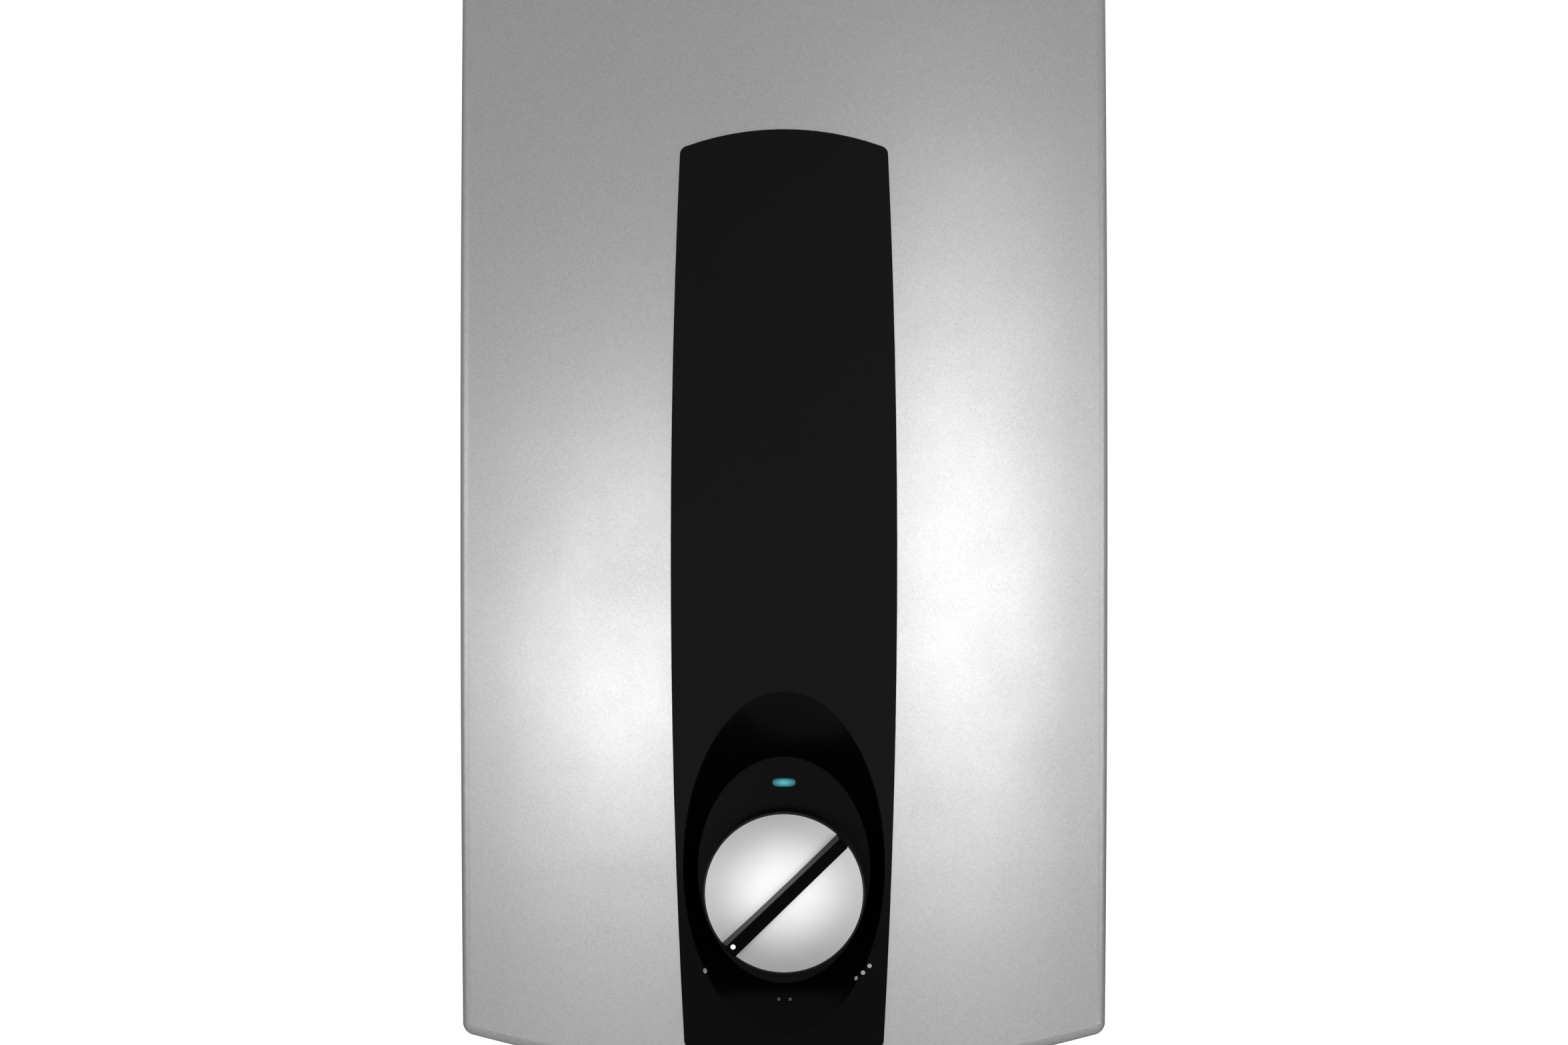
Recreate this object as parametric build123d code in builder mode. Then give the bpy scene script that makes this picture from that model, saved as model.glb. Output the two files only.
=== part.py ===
from build123d import *
import os
from math import atan2, cos, degrees, radians, sin, sqrt

# Wall-hung electric instantaneous water heater, in millimetres.
# X runs to the right, Z up, the wall is the plane y = 0 and the front faces -Y.
# A depth is a distance out from the wall, so depth d lies at y = -d.

# Casing
case_width = 200.0
case_height = 360.0
case_depth = 99.0
front_sweep_radius = 505.0
front_rise_radius = 1500.0
bottom_sag = 12.5
top_rise = 8.0
corner_radius = 4.0
front_edge_radius = 3.6
cover_wall = 2.5
cover_back = 13.0
housing_gap = 0.5
housing_wall = 2.5
housing_back = 3.0
housing_front = 48.0
flange_inset = 0.8
seam_gap = 0.3
overrun = 1.0
wall_hole_radius = 3.0
wall_hole_inset_x = 18.0
wall_hole_inset_z = 28.0
wall_boss_radius = 7.0
wall_boss_height = 2.0

# Control panel and its bowl
panel_proud = 1.0
panel_wall = 2.5
panel_gap = 0.15
panel_top_half = 31.7
panel_waist_half = 34.5
panel_low_half = 30.5
panel_waist_z = -22.0
panel_top_margin = 68.2
panel_shoulder_drop = 5.8
panel_bottom_margin = 8.0
panel_corner_radius = 2.5
panel_rim_width = 3.0
panel_flange_width = 2.5
panel_flange_thickness = 1.5
panel_seat_gap = 0.1
knob_z = -122.3
bowl_rim_lift = 8.9
bowl_rim_half_width = 31.0
bowl_rim_half_height = 53.3
bowl_floor_lift = 6.1
bowl_floor_half_width = 26.7
bowl_floor_half_height = 35.0
bowl_sink = 14.5
bowl_wall = 2.0
bowl_overrun = 1.5
lens_lift = 33.1
lens_width = 7.0
lens_height = 2.5
lens_gap = 0.1
lens_proud = 0.2
lens_tail = 14.0
lens_flange_width = 1.2
lens_flange_thickness = 1.0

# Knob
knob_radius = 25.0
knob_floor_gap = 0.8
knob_rise = 10.5
knob_wall = 2.0
knob_edge_radius = 0.6
hub_radius = 6.0
hub_gap = 0.5
hub_tail = 6.5
cap_radius = 24.2
cap_edge = 1.0
cap_dome = 1.2
grip_height = 7.0
grip_tip_width = 6.6
grip_tail_width = 5.8
grip_top_share = 0.6
grip_edge_radius = 0.7
grip_angle = 225.0
pointer_radius = 0.75
pointer_inset = 2.3
grip_end_slope = 1.0
pointer_depth = 0.6
pointer_proud = 0.05
spindle_radius = 3.0
spindle_flat = 0.75
spindle_gap = 0.05
spindle_tail = 9.0
spindle_grip = 12.0

# Control board and potentiometer
board_side_gap = 12.0
board_height = 192.0
board_thickness = 1.6
board_sink = 22.1
board_right = 14.0
board_drop = 19.7
board_margin = 5.0
post_radius = 4.0
board_screw_radius = 1.5
board_screw_length = 10.0
board_screw_head_radius = 3.0
board_screw_head = 2.0
pot_width = 20.0
pot_thickness = 8.0
rotor_radius = 5.0
rotor_gap = 0.06
rotor_base = 1.0
rotor_proud = 2.0
led_width = 4.0
led_height = 2.4
led_thickness = 1.8
relay_width = 18.0
relay_height = 22.0
relay_thickness = 15.0
relay_top_margin = 22.0
transformer_width = 30.0
transformer_height = 26.0
transformer_thickness = 14.0
coil_share = 0.62
transformer_core = 10.0
capacitor_radius = 6.0
capacitor_length = 14.0
capacitor_pitch = 15.0
capacitor_edge = 0.8
chip_size = 12.0
chip_thickness = 1.8
plug_width = 9.0
plug_height = 8.0
plug_thickness = 9.0
plug_inset = 1.0
plug_top_shares = (0.28, 0.5, 0.76)
plug_side_shares = (0.08, 0.33)
relay_shares = (0.25, 0.49)
transformer_shares = (0.27, 0.58)
capacitor_shares = (0.62, 0.6)
chip_shares = (0.42, 0.32)

# Water ways
nipple_spacing = 100.0
pipe_depth = 32.0
thread_radius = 10.48
thread_relief = 0.25
nipple_drop = 16.0
nipple_bore = 7.5
seat_radius = 15.2
seat_height = 9.5
seat_drop = 3.5
seat_gap = 0.4
notch_gap = 0.8
nut_flats = 25.0
nut_thickness = 4.0
nut_gap = 0.12
collar_radius = 13.0
collar_height = 5.0
socket_radius = 11.0
socket_height = 13.0
fit_gap = 0.1
stub_radius = 8.5
stub_bore = 6.5
pipe_radius = 7.0
pipe_wall = 1.0
pipe_bend = 18.0
sensor_radius = 13.0
sensor_height = 46.0
sensor_wall = 3.0
turbine_hub = 2.6
turbine_height = 14.0
turbine_tip_gap = 0.6
turbine_blades = 6
blade_tilt = 30.0
blade_thickness = 1.0
axle_radius = 1.0
axle_gap = 0.05
spider_width = 2.4
spider_height = 3.0
spider_hub = 3.0
pickup_width = 12.0
pickup_depth = 7.0
pickup_height = 16.0
strainer_wall = 0.8
strainer_length = 18.0
strainer_slots = 8
strainer_slot_width = 2.4
strainer_inset = 2.0
limiter_height = 4.0
limiter_hole = 1.6
limiter_holes = 6
limiter_pitch_radius = 4.2
limiter_gap = 2.0
ring_section = 0.6
groove_depth = 1.2
groove_height = 1.6
groove_inset = 4.0
clip_wall = 1.4
clip_height = 5.0
clip_opening_share = 0.7
clip_inset = 2.0
thread_chamfer = 1.2

# Heating cylinder
cylinder_radius = 26.0
cylinder_wall = 1.5
cylinder_height = 218.0
cylinder_floor = 3.0
outlet_drop = 20.0
port_radius = 9.0
port_length = 14.0
pipe_seat = 6.0
pad_size = 20.0
pad_rise = 2.0
pad_inset = 23.0
cap_wall = 2.0
cap_skirt = 8.0
cap_top = 6.0
element_radius = 3.5
element_spacing = 20.0
element_clear = 22.0
element_pin_radius = 1.5
element_pin_height = 12.0
bushing_radius = 5.0
bushing_height = 6.0
saddle_width = 26.0
saddle_height = 14.0
saddle_gap = 0.1
clamp_wall = 1.5
clamp_width = 10.0
clamp_foot = 10.0
clamp_inset = 50.0
clamp_gap = 0.1
clamp_screw_radius = 1.75
clamp_screw_head_radius = 3.5
clamp_screw_head = 2.4
clamp_screw_length = 2.0
cutout_radius = 9.0
cutout_thickness = 10.0
cutout_tab_width = 6.0
cutout_tab_length = 12.0
cutout_tab_thickness = 0.8
button_radius = 2.5
button_gap = 0.08
button_length = 6.0
button_proud = 3.5
button_travel = 1.5
triac_width = 16.0
triac_height = 10.0
triac_thickness = 4.5
triac_leg_width = 1.0
triac_leg_length = 6.0
triac_leg_pitch = 2.54
triac_legs = 3

# Mains connection
cable_x = -6.0
grommet_radius = 7.0
grommet_bore = 4.6
grommet_flange = 2.0
grommet_lip = 1.8
block_x = -16.0
block_poles = 3
block_pitch = 12.0
block_height = 28.0
block_thickness = 22.0
block_bottom = 58.0
block_wall = 2.0
block_well_radius = 3.8
block_well_depth = 9.0
block_entry_radius = 2.2
block_entry_length = 8.0
block_entry_depth = 11.0
block_screw_radius = 3.2
block_screw_height = 3.0
block_slot_width = 0.8
block_slot_depth = 1.0
cover_screw_spacing = 52.0
cover_screw_radius = 2.0
cover_screw_head_radius = 4.0
cover_screw_head = 2.6
screw_boss_height = 14.0
cover_screw_gap = 0.25
cover_slot_gap = 0.6
screw_gap = 0.05
probe_z = 70.0
probe_height = 10.0
probe_width = 7.0
probe_depth = 6.0
probe_wall = 1.4
wire_radius = 1.5
lead_radius = 1.0
wire_bend = 6.0
lead_bend = 3.0
loop_rise_high = 15.2
loop_rise_low = 8.2
lead_step = 3.1
lead_rise = 12.0
lead_reach = 11.0
lead_turn_share = 0.7

# Worked-out places of the casing
half_width = case_width / 2
half_height = case_height / 2
bottom_arc = (half_width**2 + bottom_sag**2) / (2 * bottom_sag)
top_arc = (half_width**2 + top_rise**2) / (2 * top_rise)
housing_inset = cover_wall + housing_gap
housing_inner = housing_inset + housing_wall
axis_y = front_rise_radius - case_depth
wall_span_x = case_width - 2 * wall_hole_inset_x
wall_span_z = case_height - 2 * wall_hole_inset_z
rise_half_angle = degrees(atan2(half_height + overrun, axis_y))
rise_axis = Axis((0, axis_y, 0), (1, 0, 0))
lens_z = knob_z + lens_lift
floor_z = knob_z + bowl_floor_lift
bowl_floor_depth = case_depth - bowl_sink
knob_face_depth = bowl_floor_depth + knob_rise
rim_z = knob_z + bowl_rim_lift


def bottom_z(x, inset):
    """Height of the casing's curved bottom at x, inset from its outside."""
    return -half_height + bottom_arc - sqrt((bottom_arc - inset)**2 - x**2)


def top_z(x, inset):
    """Height of the casing's curved top at x, inset from its outside."""
    return half_height - top_arc + sqrt((top_arc - inset)**2 - x**2)


def face_depth(z, proud):
    """Depth of the double-curved front on the middle line at height z."""
    rise = front_rise_radius + proud
    return case_depth + proud - rise + sqrt(rise**2 - z**2)


def case_outline(inset):
    """Front view of the casing, inset all round."""
    half = half_width - inset
    low = bottom_z(half, inset)
    high = top_z(half, inset)
    with BuildSketch() as outline:
        with BuildLine():
            Line((-half, high), (-half, low))
            ThreePointArc((-half, low), (0, bottom_z(0, inset)), (half, low))
            Line((half, low), (half, high))
            ThreePointArc((half, high), (0, top_z(0, inset)), (-half, high))
        make_face()
        fillet(outline.vertices(), max(corner_radius - inset, corner_radius / 4))
    return outline.sketch


def panel_outline(grow):
    """Front view of the control panel, grown all round."""
    crown = half_height - panel_top_margin
    crown_arc = (panel_top_half**2 + panel_shoulder_drop**2) / (2 * panel_shoulder_drop)
    top_half = panel_top_half + grow
    low_half = panel_low_half + grow
    waist = panel_waist_half + grow
    shoulder = crown - crown_arc + sqrt((crown_arc + grow)**2 - top_half**2)
    low = bottom_z(low_half, panel_bottom_margin - grow)
    base = bottom_z(0, panel_bottom_margin - grow)
    with BuildSketch() as outline:
        with BuildLine():
            ThreePointArc((-top_half, shoulder), (-waist, panel_waist_z), (-low_half, low))
            ThreePointArc((-low_half, low), (0, base), (low_half, low))
            ThreePointArc((low_half, low), (waist, panel_waist_z), (top_half, shoulder))
            ThreePointArc((top_half, shoulder), (0, crown + grow), (-top_half, shoulder))
        make_face()
        fillet(outline.vertices(), max(panel_corner_radius + grow, panel_corner_radius / 4))
    return outline.sketch


def front_block(proud):
    """Solid behind the double-curved front, its face standing proud of the cover's."""
    reach = half_width + overrun
    sweep = front_sweep_radius + proud
    edge = case_depth + proud - sweep + sqrt(sweep**2 - reach**2)
    with BuildPart() as block:
        with BuildSketch(Plane.XY):
            with BuildLine():
                ThreePointArc((-reach, -edge), (0, -case_depth - proud), (reach, -edge))
                Polyline((reach, -edge), (reach, case_depth), (-reach, case_depth), (-reach, -edge))
            make_face()
        revolve(axis=rise_axis, revolution_arc=2 * rise_half_angle)
    return block.part.rotate(rise_axis, -rise_half_angle)


def casing_form(inset, back, edge_radius):
    """Solid form of the cover, inset from its outside, from a back depth to the front."""
    profile = case_outline(inset)
    block = front_block(-inset)
    with BuildPart() as form:
        with BuildSketch(Plane.XZ.offset(back)):
            add(profile)
        extrude(amount=case_depth)
        add(block, mode=Mode.INTERSECT)
        fillet(form.faces().sort_by(Axis.Y)[0].edges(), edge_radius)
    return form.part


def front_patch(profile, outer, inner):
    """Piece of the curved front inside a profile, between two heights over the cover's face."""
    face = front_block(outer)
    core = front_block(inner)
    with BuildPart() as patch:
        with BuildSketch(Plane.XZ):
            add(profile)
        extrude(amount=case_depth + case_depth)
        add(face, mode=Mode.INTERSECT)
        add(core, mode=Mode.SUBTRACT)
    return patch.part


def bowl_form(grow):
    """Tapered elliptical bowl round the knob, grown by a wall."""
    high = rim_z + bowl_rim_half_height
    low = rim_z - bowl_rim_half_height
    high_depth = face_depth(high, panel_proud)
    low_depth = face_depth(low, panel_proud)
    tilt = atan2(high_depth - low_depth, high - low)
    middle_depth = (high_depth + low_depth) / 2
    reach = 1 + bowl_overrun / (middle_depth - bowl_floor_depth)
    rim_width = bowl_floor_half_width + (bowl_rim_half_width - bowl_floor_half_width) * reach
    rim_height = bowl_floor_half_height + (bowl_rim_half_height - bowl_floor_half_height) * reach
    rim_plane = Plane(
        origin=(0, -middle_depth, rim_z), x_dir=(1, 0, 0), z_dir=(0, -cos(tilt), -sin(tilt))
    ).offset(bowl_overrun)
    with BuildPart() as bowl:
        with BuildSketch(Plane.XZ.offset(bowl_floor_depth - grow)):
            with Locations((0, floor_z)):
                Ellipse(bowl_floor_half_width + grow, bowl_floor_half_height + grow)
        with BuildSketch(rim_plane):
            Ellipse(rim_width + grow, rim_height + grow)
        loft(ruled=True)
    return bowl.part


def d_profile(radius, flat):
    """Round profile with one flat."""
    with BuildSketch() as profile:
        Circle(radius)
        with Locations((0, radius - flat)):
            Rectangle(2 * radius, flat + flat, align=(Align.CENTER, Align.MIN), mode=Mode.SUBTRACT)
    return profile.sketch


def keep(part, name):
    """Label a finished piece and write it."""
    part.label = name
    export_step(part, f"parts/{name}.step")


os.makedirs("parts", exist_ok=True)

# Places of the water ways, from the bottom upwards
hot_x = -nipple_spacing / 2
cold_x = nipple_spacing / 2
nipple_x = (hot_x, cold_x)
seat_low = bottom_z(cold_x, 0) - seat_drop + cover_wall
seat_high = seat_low + seat_height
nipple_low = seat_low - nut_thickness - nipple_drop
socket_high = seat_high + collar_height + socket_height
sensor_low = socket_high + fit_gap
sensor_high = sensor_low + sensor_height
neck_low = sensor_high + fit_gap
cylinder_low = neck_low + socket_height
cylinder_high = cylinder_low + cylinder_height
outlet_z = cylinder_high - outlet_drop
clamp_z = (cylinder_low + clamp_inset, cylinder_high - clamp_inset)
pad_z = (cylinder_low + pad_inset, cylinder_high - pad_inset - cap_skirt)
pad_depth = pipe_depth + cylinder_radius + pad_rise
notch_radius = seat_radius + notch_gap
cover_screw_x = (-cover_screw_spacing / 2, cover_screw_spacing / 2)
board_left = -half_width + board_side_gap
board_width = board_right - board_left
board_low = knob_z - board_drop
board_top = board_low + board_height
board_depth = bowl_floor_depth - board_sink
board_x = (board_left + board_right) / 2
board_z = (board_low + board_top) / 2
board_front = board_depth + board_thickness
post_span_x = board_width - 2 * board_margin
post_span_z = board_height - 2 * board_margin
floor_back = bowl_floor_depth - bowl_wall
clamp_inner = cylinder_radius + clamp_gap
clamp_outer = clamp_inner + clamp_wall
clamp_screw_x = clamp_outer + clamp_foot / 2
cap_high = cylinder_high + cap_top
collar_high = seat_high + collar_height
chamber_radius = sensor_radius - sensor_wall
chamber_low = sensor_low + sensor_wall
chamber_high = sensor_high - sensor_wall
turbine_z = (chamber_low + chamber_high) / 2
stub_length = socket_height - fit_gap

# Front cover: one moulded shell, open at the back, with slots in its lower edge
outer_form = casing_form(0, cover_back, front_edge_radius)
inner_form = casing_form(cover_wall, cover_back - overrun, front_edge_radius - cover_wall)
window = panel_outline(panel_gap)
grommet_notch = grommet_radius + grommet_flange + notch_gap
slots = [(x, notch_radius) for x in nipple_x] + [(cable_x, grommet_notch)]
slots += [(x, cover_screw_radius + cover_slot_gap) for x in cover_screw_x]
with BuildPart() as front_cover:
    add(outer_form)
    add(inner_form, mode=Mode.SUBTRACT)
    with BuildSketch(Plane.XZ.offset(case_depth / 2)):
        add(window)
    extrude(amount=case_depth, mode=Mode.SUBTRACT)
    with BuildSketch(Plane.XY.offset(-half_height - overrun)):
        for x, radius in slots:
            with Locations((x, -pipe_depth)):
                Circle(radius)
                Rectangle(2 * radius, pipe_depth, align=(Align.CENTER, Align.MIN))
    extrude(amount=bottom_sag + overrun, mode=Mode.SUBTRACT)
keep(front_cover.part, "front_cover")

# Rear housing: tray on the wall with posts, saddles and seats for what it carries
flange_profile = case_outline(flange_inset)
tray_profile = case_outline(housing_inset)
hollow_profile = case_outline(housing_inner)
saddle_depth = pipe_depth - sqrt(cylinder_radius**2 - (saddle_width / 2)**2)
screw_boss = cover_screw_radius + housing_wall
with BuildPart() as rear_housing:
    with BuildSketch(Plane.XZ):
        add(flange_profile)
    extrude(amount=cover_back - seam_gap)
    with BuildSketch(Plane.XZ):
        add(tray_profile)
    extrude(amount=housing_front)
    with BuildSketch(Plane.XZ.offset(housing_back)):
        add(hollow_profile)
    extrude(amount=housing_front, mode=Mode.SUBTRACT)
    with BuildSketch(Plane.XZ.offset(housing_back)):
        with GridLocations(wall_span_x, wall_span_z, 2, 2):
            Circle(wall_boss_radius)
    extrude(amount=wall_boss_height)
    with BuildSketch(Plane.XZ):
        with GridLocations(wall_span_x, wall_span_z, 2, 2):
            Circle(wall_hole_radius)
    extrude(amount=housing_back + wall_boss_height + overrun, mode=Mode.SUBTRACT)
    with BuildSketch(Plane.XZ.offset(housing_back)):
        with Locations((board_x, board_z)):
            with GridLocations(post_span_x, post_span_z, 2, 2):
                Circle(post_radius)
    extrude(amount=board_depth - housing_back)
    with BuildSketch(Plane.XZ.offset(board_depth)):
        with Locations((board_x, board_z)):
            with GridLocations(post_span_x, post_span_z, 2, 2):
                Circle(board_screw_radius)
    extrude(amount=-board_screw_length, mode=Mode.SUBTRACT)
    with BuildSketch(Plane.XZ.offset(housing_back)):
        for z in clamp_z:
            with Locations((cold_x, z)):
                Rectangle(saddle_width, saddle_height)
    extrude(amount=saddle_depth - housing_back)
    with BuildSketch(Plane.XY.offset(cylinder_low)):
        with Locations((cold_x, -pipe_depth)):
            Circle(cylinder_radius + saddle_gap)
    extrude(amount=cylinder_height, mode=Mode.SUBTRACT)
    with BuildSketch(Plane.XZ.offset(housing_back - clamp_screw_length)):
        for z in clamp_z:
            with Locations((cold_x, z)):
                with GridLocations(2 * clamp_screw_x, 0, 2, 1):
                    Circle(clamp_screw_radius)
    extrude(amount=clamp_screw_length + overrun, mode=Mode.SUBTRACT)
    with BuildSketch(Plane.XY.offset(seat_low)):
        for x in nipple_x:
            with Locations((x, -pipe_depth)):
                Circle(seat_radius)
    extrude(amount=seat_height)
    with BuildSketch(Plane.XY.offset(bottom_z(cover_screw_x[1], housing_inner))):
        for x in cover_screw_x:
            with Locations((x, -pipe_depth)):
                Circle(screw_boss)
    extrude(amount=screw_boss_height)
    with BuildSketch(Plane.XY.offset(-half_height)):
        for x in nipple_x:
            with Locations((x, -pipe_depth)):
                Circle(thread_radius + seat_gap)
        with Locations((cable_x, -pipe_depth)):
            Circle(grommet_radius + fit_gap)
        for x in cover_screw_x:
            with Locations((x, -pipe_depth)):
                Circle(cover_screw_radius)
    extrude(amount=seat_high + half_height + overrun, mode=Mode.SUBTRACT)
keep(rear_housing.part, "rear_housing")

# Control panel: black insert behind the cover's window, with the knob's bowl
flange_front = -cover_wall - panel_seat_gap
flange_back = flange_front - panel_flange_thickness
rim_block = front_patch(panel_outline(0), panel_proud, flange_back)
flange_block = front_patch(panel_outline(panel_flange_width), flange_front, flange_back)
rim_hollow = front_patch(panel_outline(-panel_rim_width), panel_proud - panel_wall, flange_back - overrun)
bowl_outside = bowl_form(bowl_wall)
bowl_inside = bowl_form(0)
panel_face = front_block(panel_proud)
with BuildPart() as bowl_shell:
    add(bowl_outside)
    add(panel_face, mode=Mode.INTERSECT)
with BuildPart() as control_panel:
    add(rim_block)
    add(flange_block)
    add(rim_hollow, mode=Mode.SUBTRACT)
    add(bowl_shell.part)
    add(bowl_inside, mode=Mode.SUBTRACT)
    with BuildSketch(Plane.XZ.offset(floor_back - overrun)):
        with Locations((0, knob_z)):
            Circle(hub_radius + hub_gap)
        with Locations((0, lens_z)):
            SlotOverall(lens_width + 2 * lens_gap, lens_height + 2 * lens_gap)
    extrude(amount=bowl_wall + 2 * overrun, mode=Mode.SUBTRACT)
keep(control_panel.part, "control_panel")

# Light pipe: clear window in the bowl's floor, carried back to the board's lamp
with BuildPart() as light_pipe:
    with BuildSketch(Plane.XZ.offset(floor_back - lens_tail)):
        with Locations((0, lens_z)):
            SlotOverall(lens_width, lens_height)
    extrude(amount=lens_tail + bowl_wall + lens_proud)
    with BuildSketch(Plane.XZ.offset(floor_back - lens_flange_thickness)):
        with Locations((0, lens_z)):
            SlotOverall(lens_width + 2 * lens_flange_width, lens_height + 2 * lens_flange_width)
    extrude(amount=lens_flange_thickness)
keep(light_pipe.part, "light_pipe")

# Knob: black cup with a hub, bright domed cap, grip bar, pointer and spindle
skirt_back = bowl_floor_depth + knob_floor_gap
hub_back = floor_back - hub_tail
bore_profile = d_profile(spindle_radius + spindle_gap, spindle_flat)
spindle_profile = d_profile(spindle_radius, spindle_flat)
with BuildPart() as knob_body:
    with BuildSketch(Plane.XZ.offset(skirt_back)):
        with Locations((0, knob_z)):
            Circle(knob_radius)
    extrude(amount=knob_face_depth - skirt_back)
    fillet(knob_body.faces().sort_by(Axis.Y)[0].edges(), knob_edge_radius)
    with BuildSketch(Plane.XZ.offset(skirt_back)):
        with Locations((0, knob_z)):
            Circle(knob_radius - knob_wall)
    extrude(amount=knob_face_depth - skirt_back - knob_wall, mode=Mode.SUBTRACT)
    with BuildSketch(Plane.XZ.offset(hub_back)):
        with Locations((0, knob_z)):
            Circle(hub_radius)
    extrude(amount=knob_face_depth - hub_back - knob_wall)
    with BuildSketch(Plane.XZ.offset(hub_back)):
        with Locations((0, knob_z)):
            add(bore_profile)
    extrude(amount=spindle_grip, mode=Mode.SUBTRACT)
keep(knob_body.part, "knob_body")

cap_front = knob_face_depth + cap_edge + cap_dome
dome_radius = (cap_radius**2 + cap_dome**2) / (2 * cap_dome)
dome_mid = cap_front - dome_radius + sqrt(dome_radius**2 - (cap_radius / 2)**2)
knob_axis = Axis((0, 0, knob_z), (0, 1, 0))
with BuildPart() as knob_cap:
    with BuildSketch(Plane.YZ):
        with BuildLine():
            Polyline(
                (-cap_front, knob_z),
                (-knob_face_depth, knob_z),
                (-knob_face_depth, knob_z + cap_radius),
                (-knob_face_depth - cap_edge, knob_z + cap_radius),
            )
            ThreePointArc(
                (-knob_face_depth - cap_edge, knob_z + cap_radius),
                (-dome_mid, knob_z + cap_radius / 2),
                (-cap_front, knob_z),
            )
        make_face()
    revolve(axis=knob_axis)
keep(knob_cap.part, "knob_cap")

grip_turn = radians(grip_angle)
grip_dir = (cos(grip_turn), 0, sin(grip_turn))
grip_base = knob_face_depth + cap_edge / 2
grip_top = cap_front + grip_height
pointer_reach = cap_radius - pointer_inset


def grip_plane(depth):
    """Plane across the knob's axis whose x runs out to the pointer."""
    return Plane(origin=(0, -depth, knob_z), x_dir=grip_dir, z_dir=(0, -1, 0))


with BuildPart() as knob_grip:
    for depth, reach, share in (
        (grip_base, cap_radius + overrun, 1),
        (grip_top, cap_radius - grip_end_slope, grip_top_share),
    ):
        tip = grip_tip_width * share / 2
        tail = grip_tail_width * share / 2
        with BuildSketch(grip_plane(depth)):
            with BuildLine():
                Polyline((reach, tip), (-reach, tail), (-reach, -tail), (reach, -tip), close=True)
            make_face()
    loft(ruled=True)
    with BuildSketch(grip_plane(grip_base)):
        Circle(cap_radius)
    extrude(amount=grip_top - grip_base, mode=Mode.INTERSECT)
    fillet(knob_grip.faces().sort_by(Axis.Y)[0].edges(), grip_edge_radius)
    add(knob_cap.part, mode=Mode.SUBTRACT)
    with BuildSketch(grip_plane(grip_top - pointer_depth)):
        with Locations((pointer_reach, 0)):
            Circle(pointer_radius)
    extrude(amount=pointer_depth + overrun, mode=Mode.SUBTRACT)
keep(knob_grip.part, "knob_grip")

with BuildPart() as pointer_dot:
    with BuildSketch(grip_plane(grip_top - pointer_depth)):
        with Locations((pointer_reach, 0)):
            Circle(pointer_radius)
    extrude(amount=pointer_depth + pointer_proud)
keep(pointer_dot.part, "pointer_dot")

with BuildPart() as knob_spindle:
    with BuildSketch(Plane.XZ.offset(hub_back - spindle_tail)):
        with Locations((0, knob_z)):
            add(spindle_profile)
    extrude(amount=spindle_tail + spindle_grip)
keep(knob_spindle.part, "knob_spindle")

# Water ways: nipples with their lock nuts, strainer, flow limiter and flow sensor


def nipple(x, bore, socket_bore):
    """Threaded nipple with a hexagonal collar and a socket above it."""
    with BuildPart() as body:
        with BuildSketch(Plane.XY.offset(nipple_low)):
            with Locations((x, -pipe_depth)):
                Circle(thread_radius)
        extrude(amount=nipple_drop)
        chamfer(body.faces().sort_by(Axis.Z)[0].edges(), thread_chamfer)
        with BuildSketch(Plane.XY.offset(nipple_low + nipple_drop)):
            with Locations((x, -pipe_depth)):
                Circle(thread_radius - thread_relief)
        extrude(amount=seat_high - nipple_low - nipple_drop)
        with BuildSketch(Plane.XY.offset(seat_high)):
            with Locations((x, -pipe_depth)):
                RegularPolygon(collar_radius, side_count=6)
        extrude(amount=collar_height)
        with BuildSketch(Plane.XY.offset(collar_high)):
            with Locations((x, -pipe_depth)):
                Circle(socket_radius)
        extrude(amount=socket_height)
        with BuildSketch(Plane.XY.offset(nipple_low)):
            with Locations((x, -pipe_depth)):
                Circle(bore)
        extrude(amount=collar_high - nipple_low, mode=Mode.SUBTRACT)
        with BuildSketch(Plane.XY.offset(collar_high)):
            with Locations((x, -pipe_depth)):
                Circle(socket_bore)
        extrude(amount=socket_height, mode=Mode.SUBTRACT)
    return body.part


hot_nipple = nipple(hot_x, pipe_radius - pipe_wall, pipe_radius + fit_gap)
keep(hot_nipple, "hot_nipple")
cold_nipple = nipple(cold_x, nipple_bore, stub_radius + fit_gap)
keep(cold_nipple, "cold_nipple")

with BuildPart() as lock_nuts:
    with BuildSketch(Plane.XY.offset(seat_low - nut_thickness)):
        for x in nipple_x:
            with Locations((x, -pipe_depth)):
                RegularPolygon(nut_flats / 2, side_count=6, major_radius=False)
                Circle(thread_radius + nut_gap, mode=Mode.SUBTRACT)
    extrude(amount=nut_thickness)
keep(lock_nuts.part, "lock_nuts")

strainer_radius = nipple_bore - fit_gap
strainer_low = nipple_low + strainer_inset
with BuildPart() as inlet_strainer:
    with BuildSketch(Plane.XY.offset(strainer_low)):
        with Locations((cold_x, -pipe_depth)):
            Circle(strainer_radius)
    extrude(amount=strainer_length)
    with BuildSketch(Plane.XY.offset(strainer_low)):
        with Locations((cold_x, -pipe_depth)):
            Circle(strainer_radius - strainer_wall)
    extrude(amount=strainer_length - strainer_wall, mode=Mode.SUBTRACT)
    with Locations((cold_x, -pipe_depth, strainer_low + strainer_length / 2)):
        with PolarLocations(strainer_radius, strainer_slots):
            Box(
                strainer_radius,
                strainer_slot_width,
                strainer_length - 2 * strainer_slot_width,
                mode=Mode.SUBTRACT,
            )
keep(inlet_strainer.part, "inlet_strainer")

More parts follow.
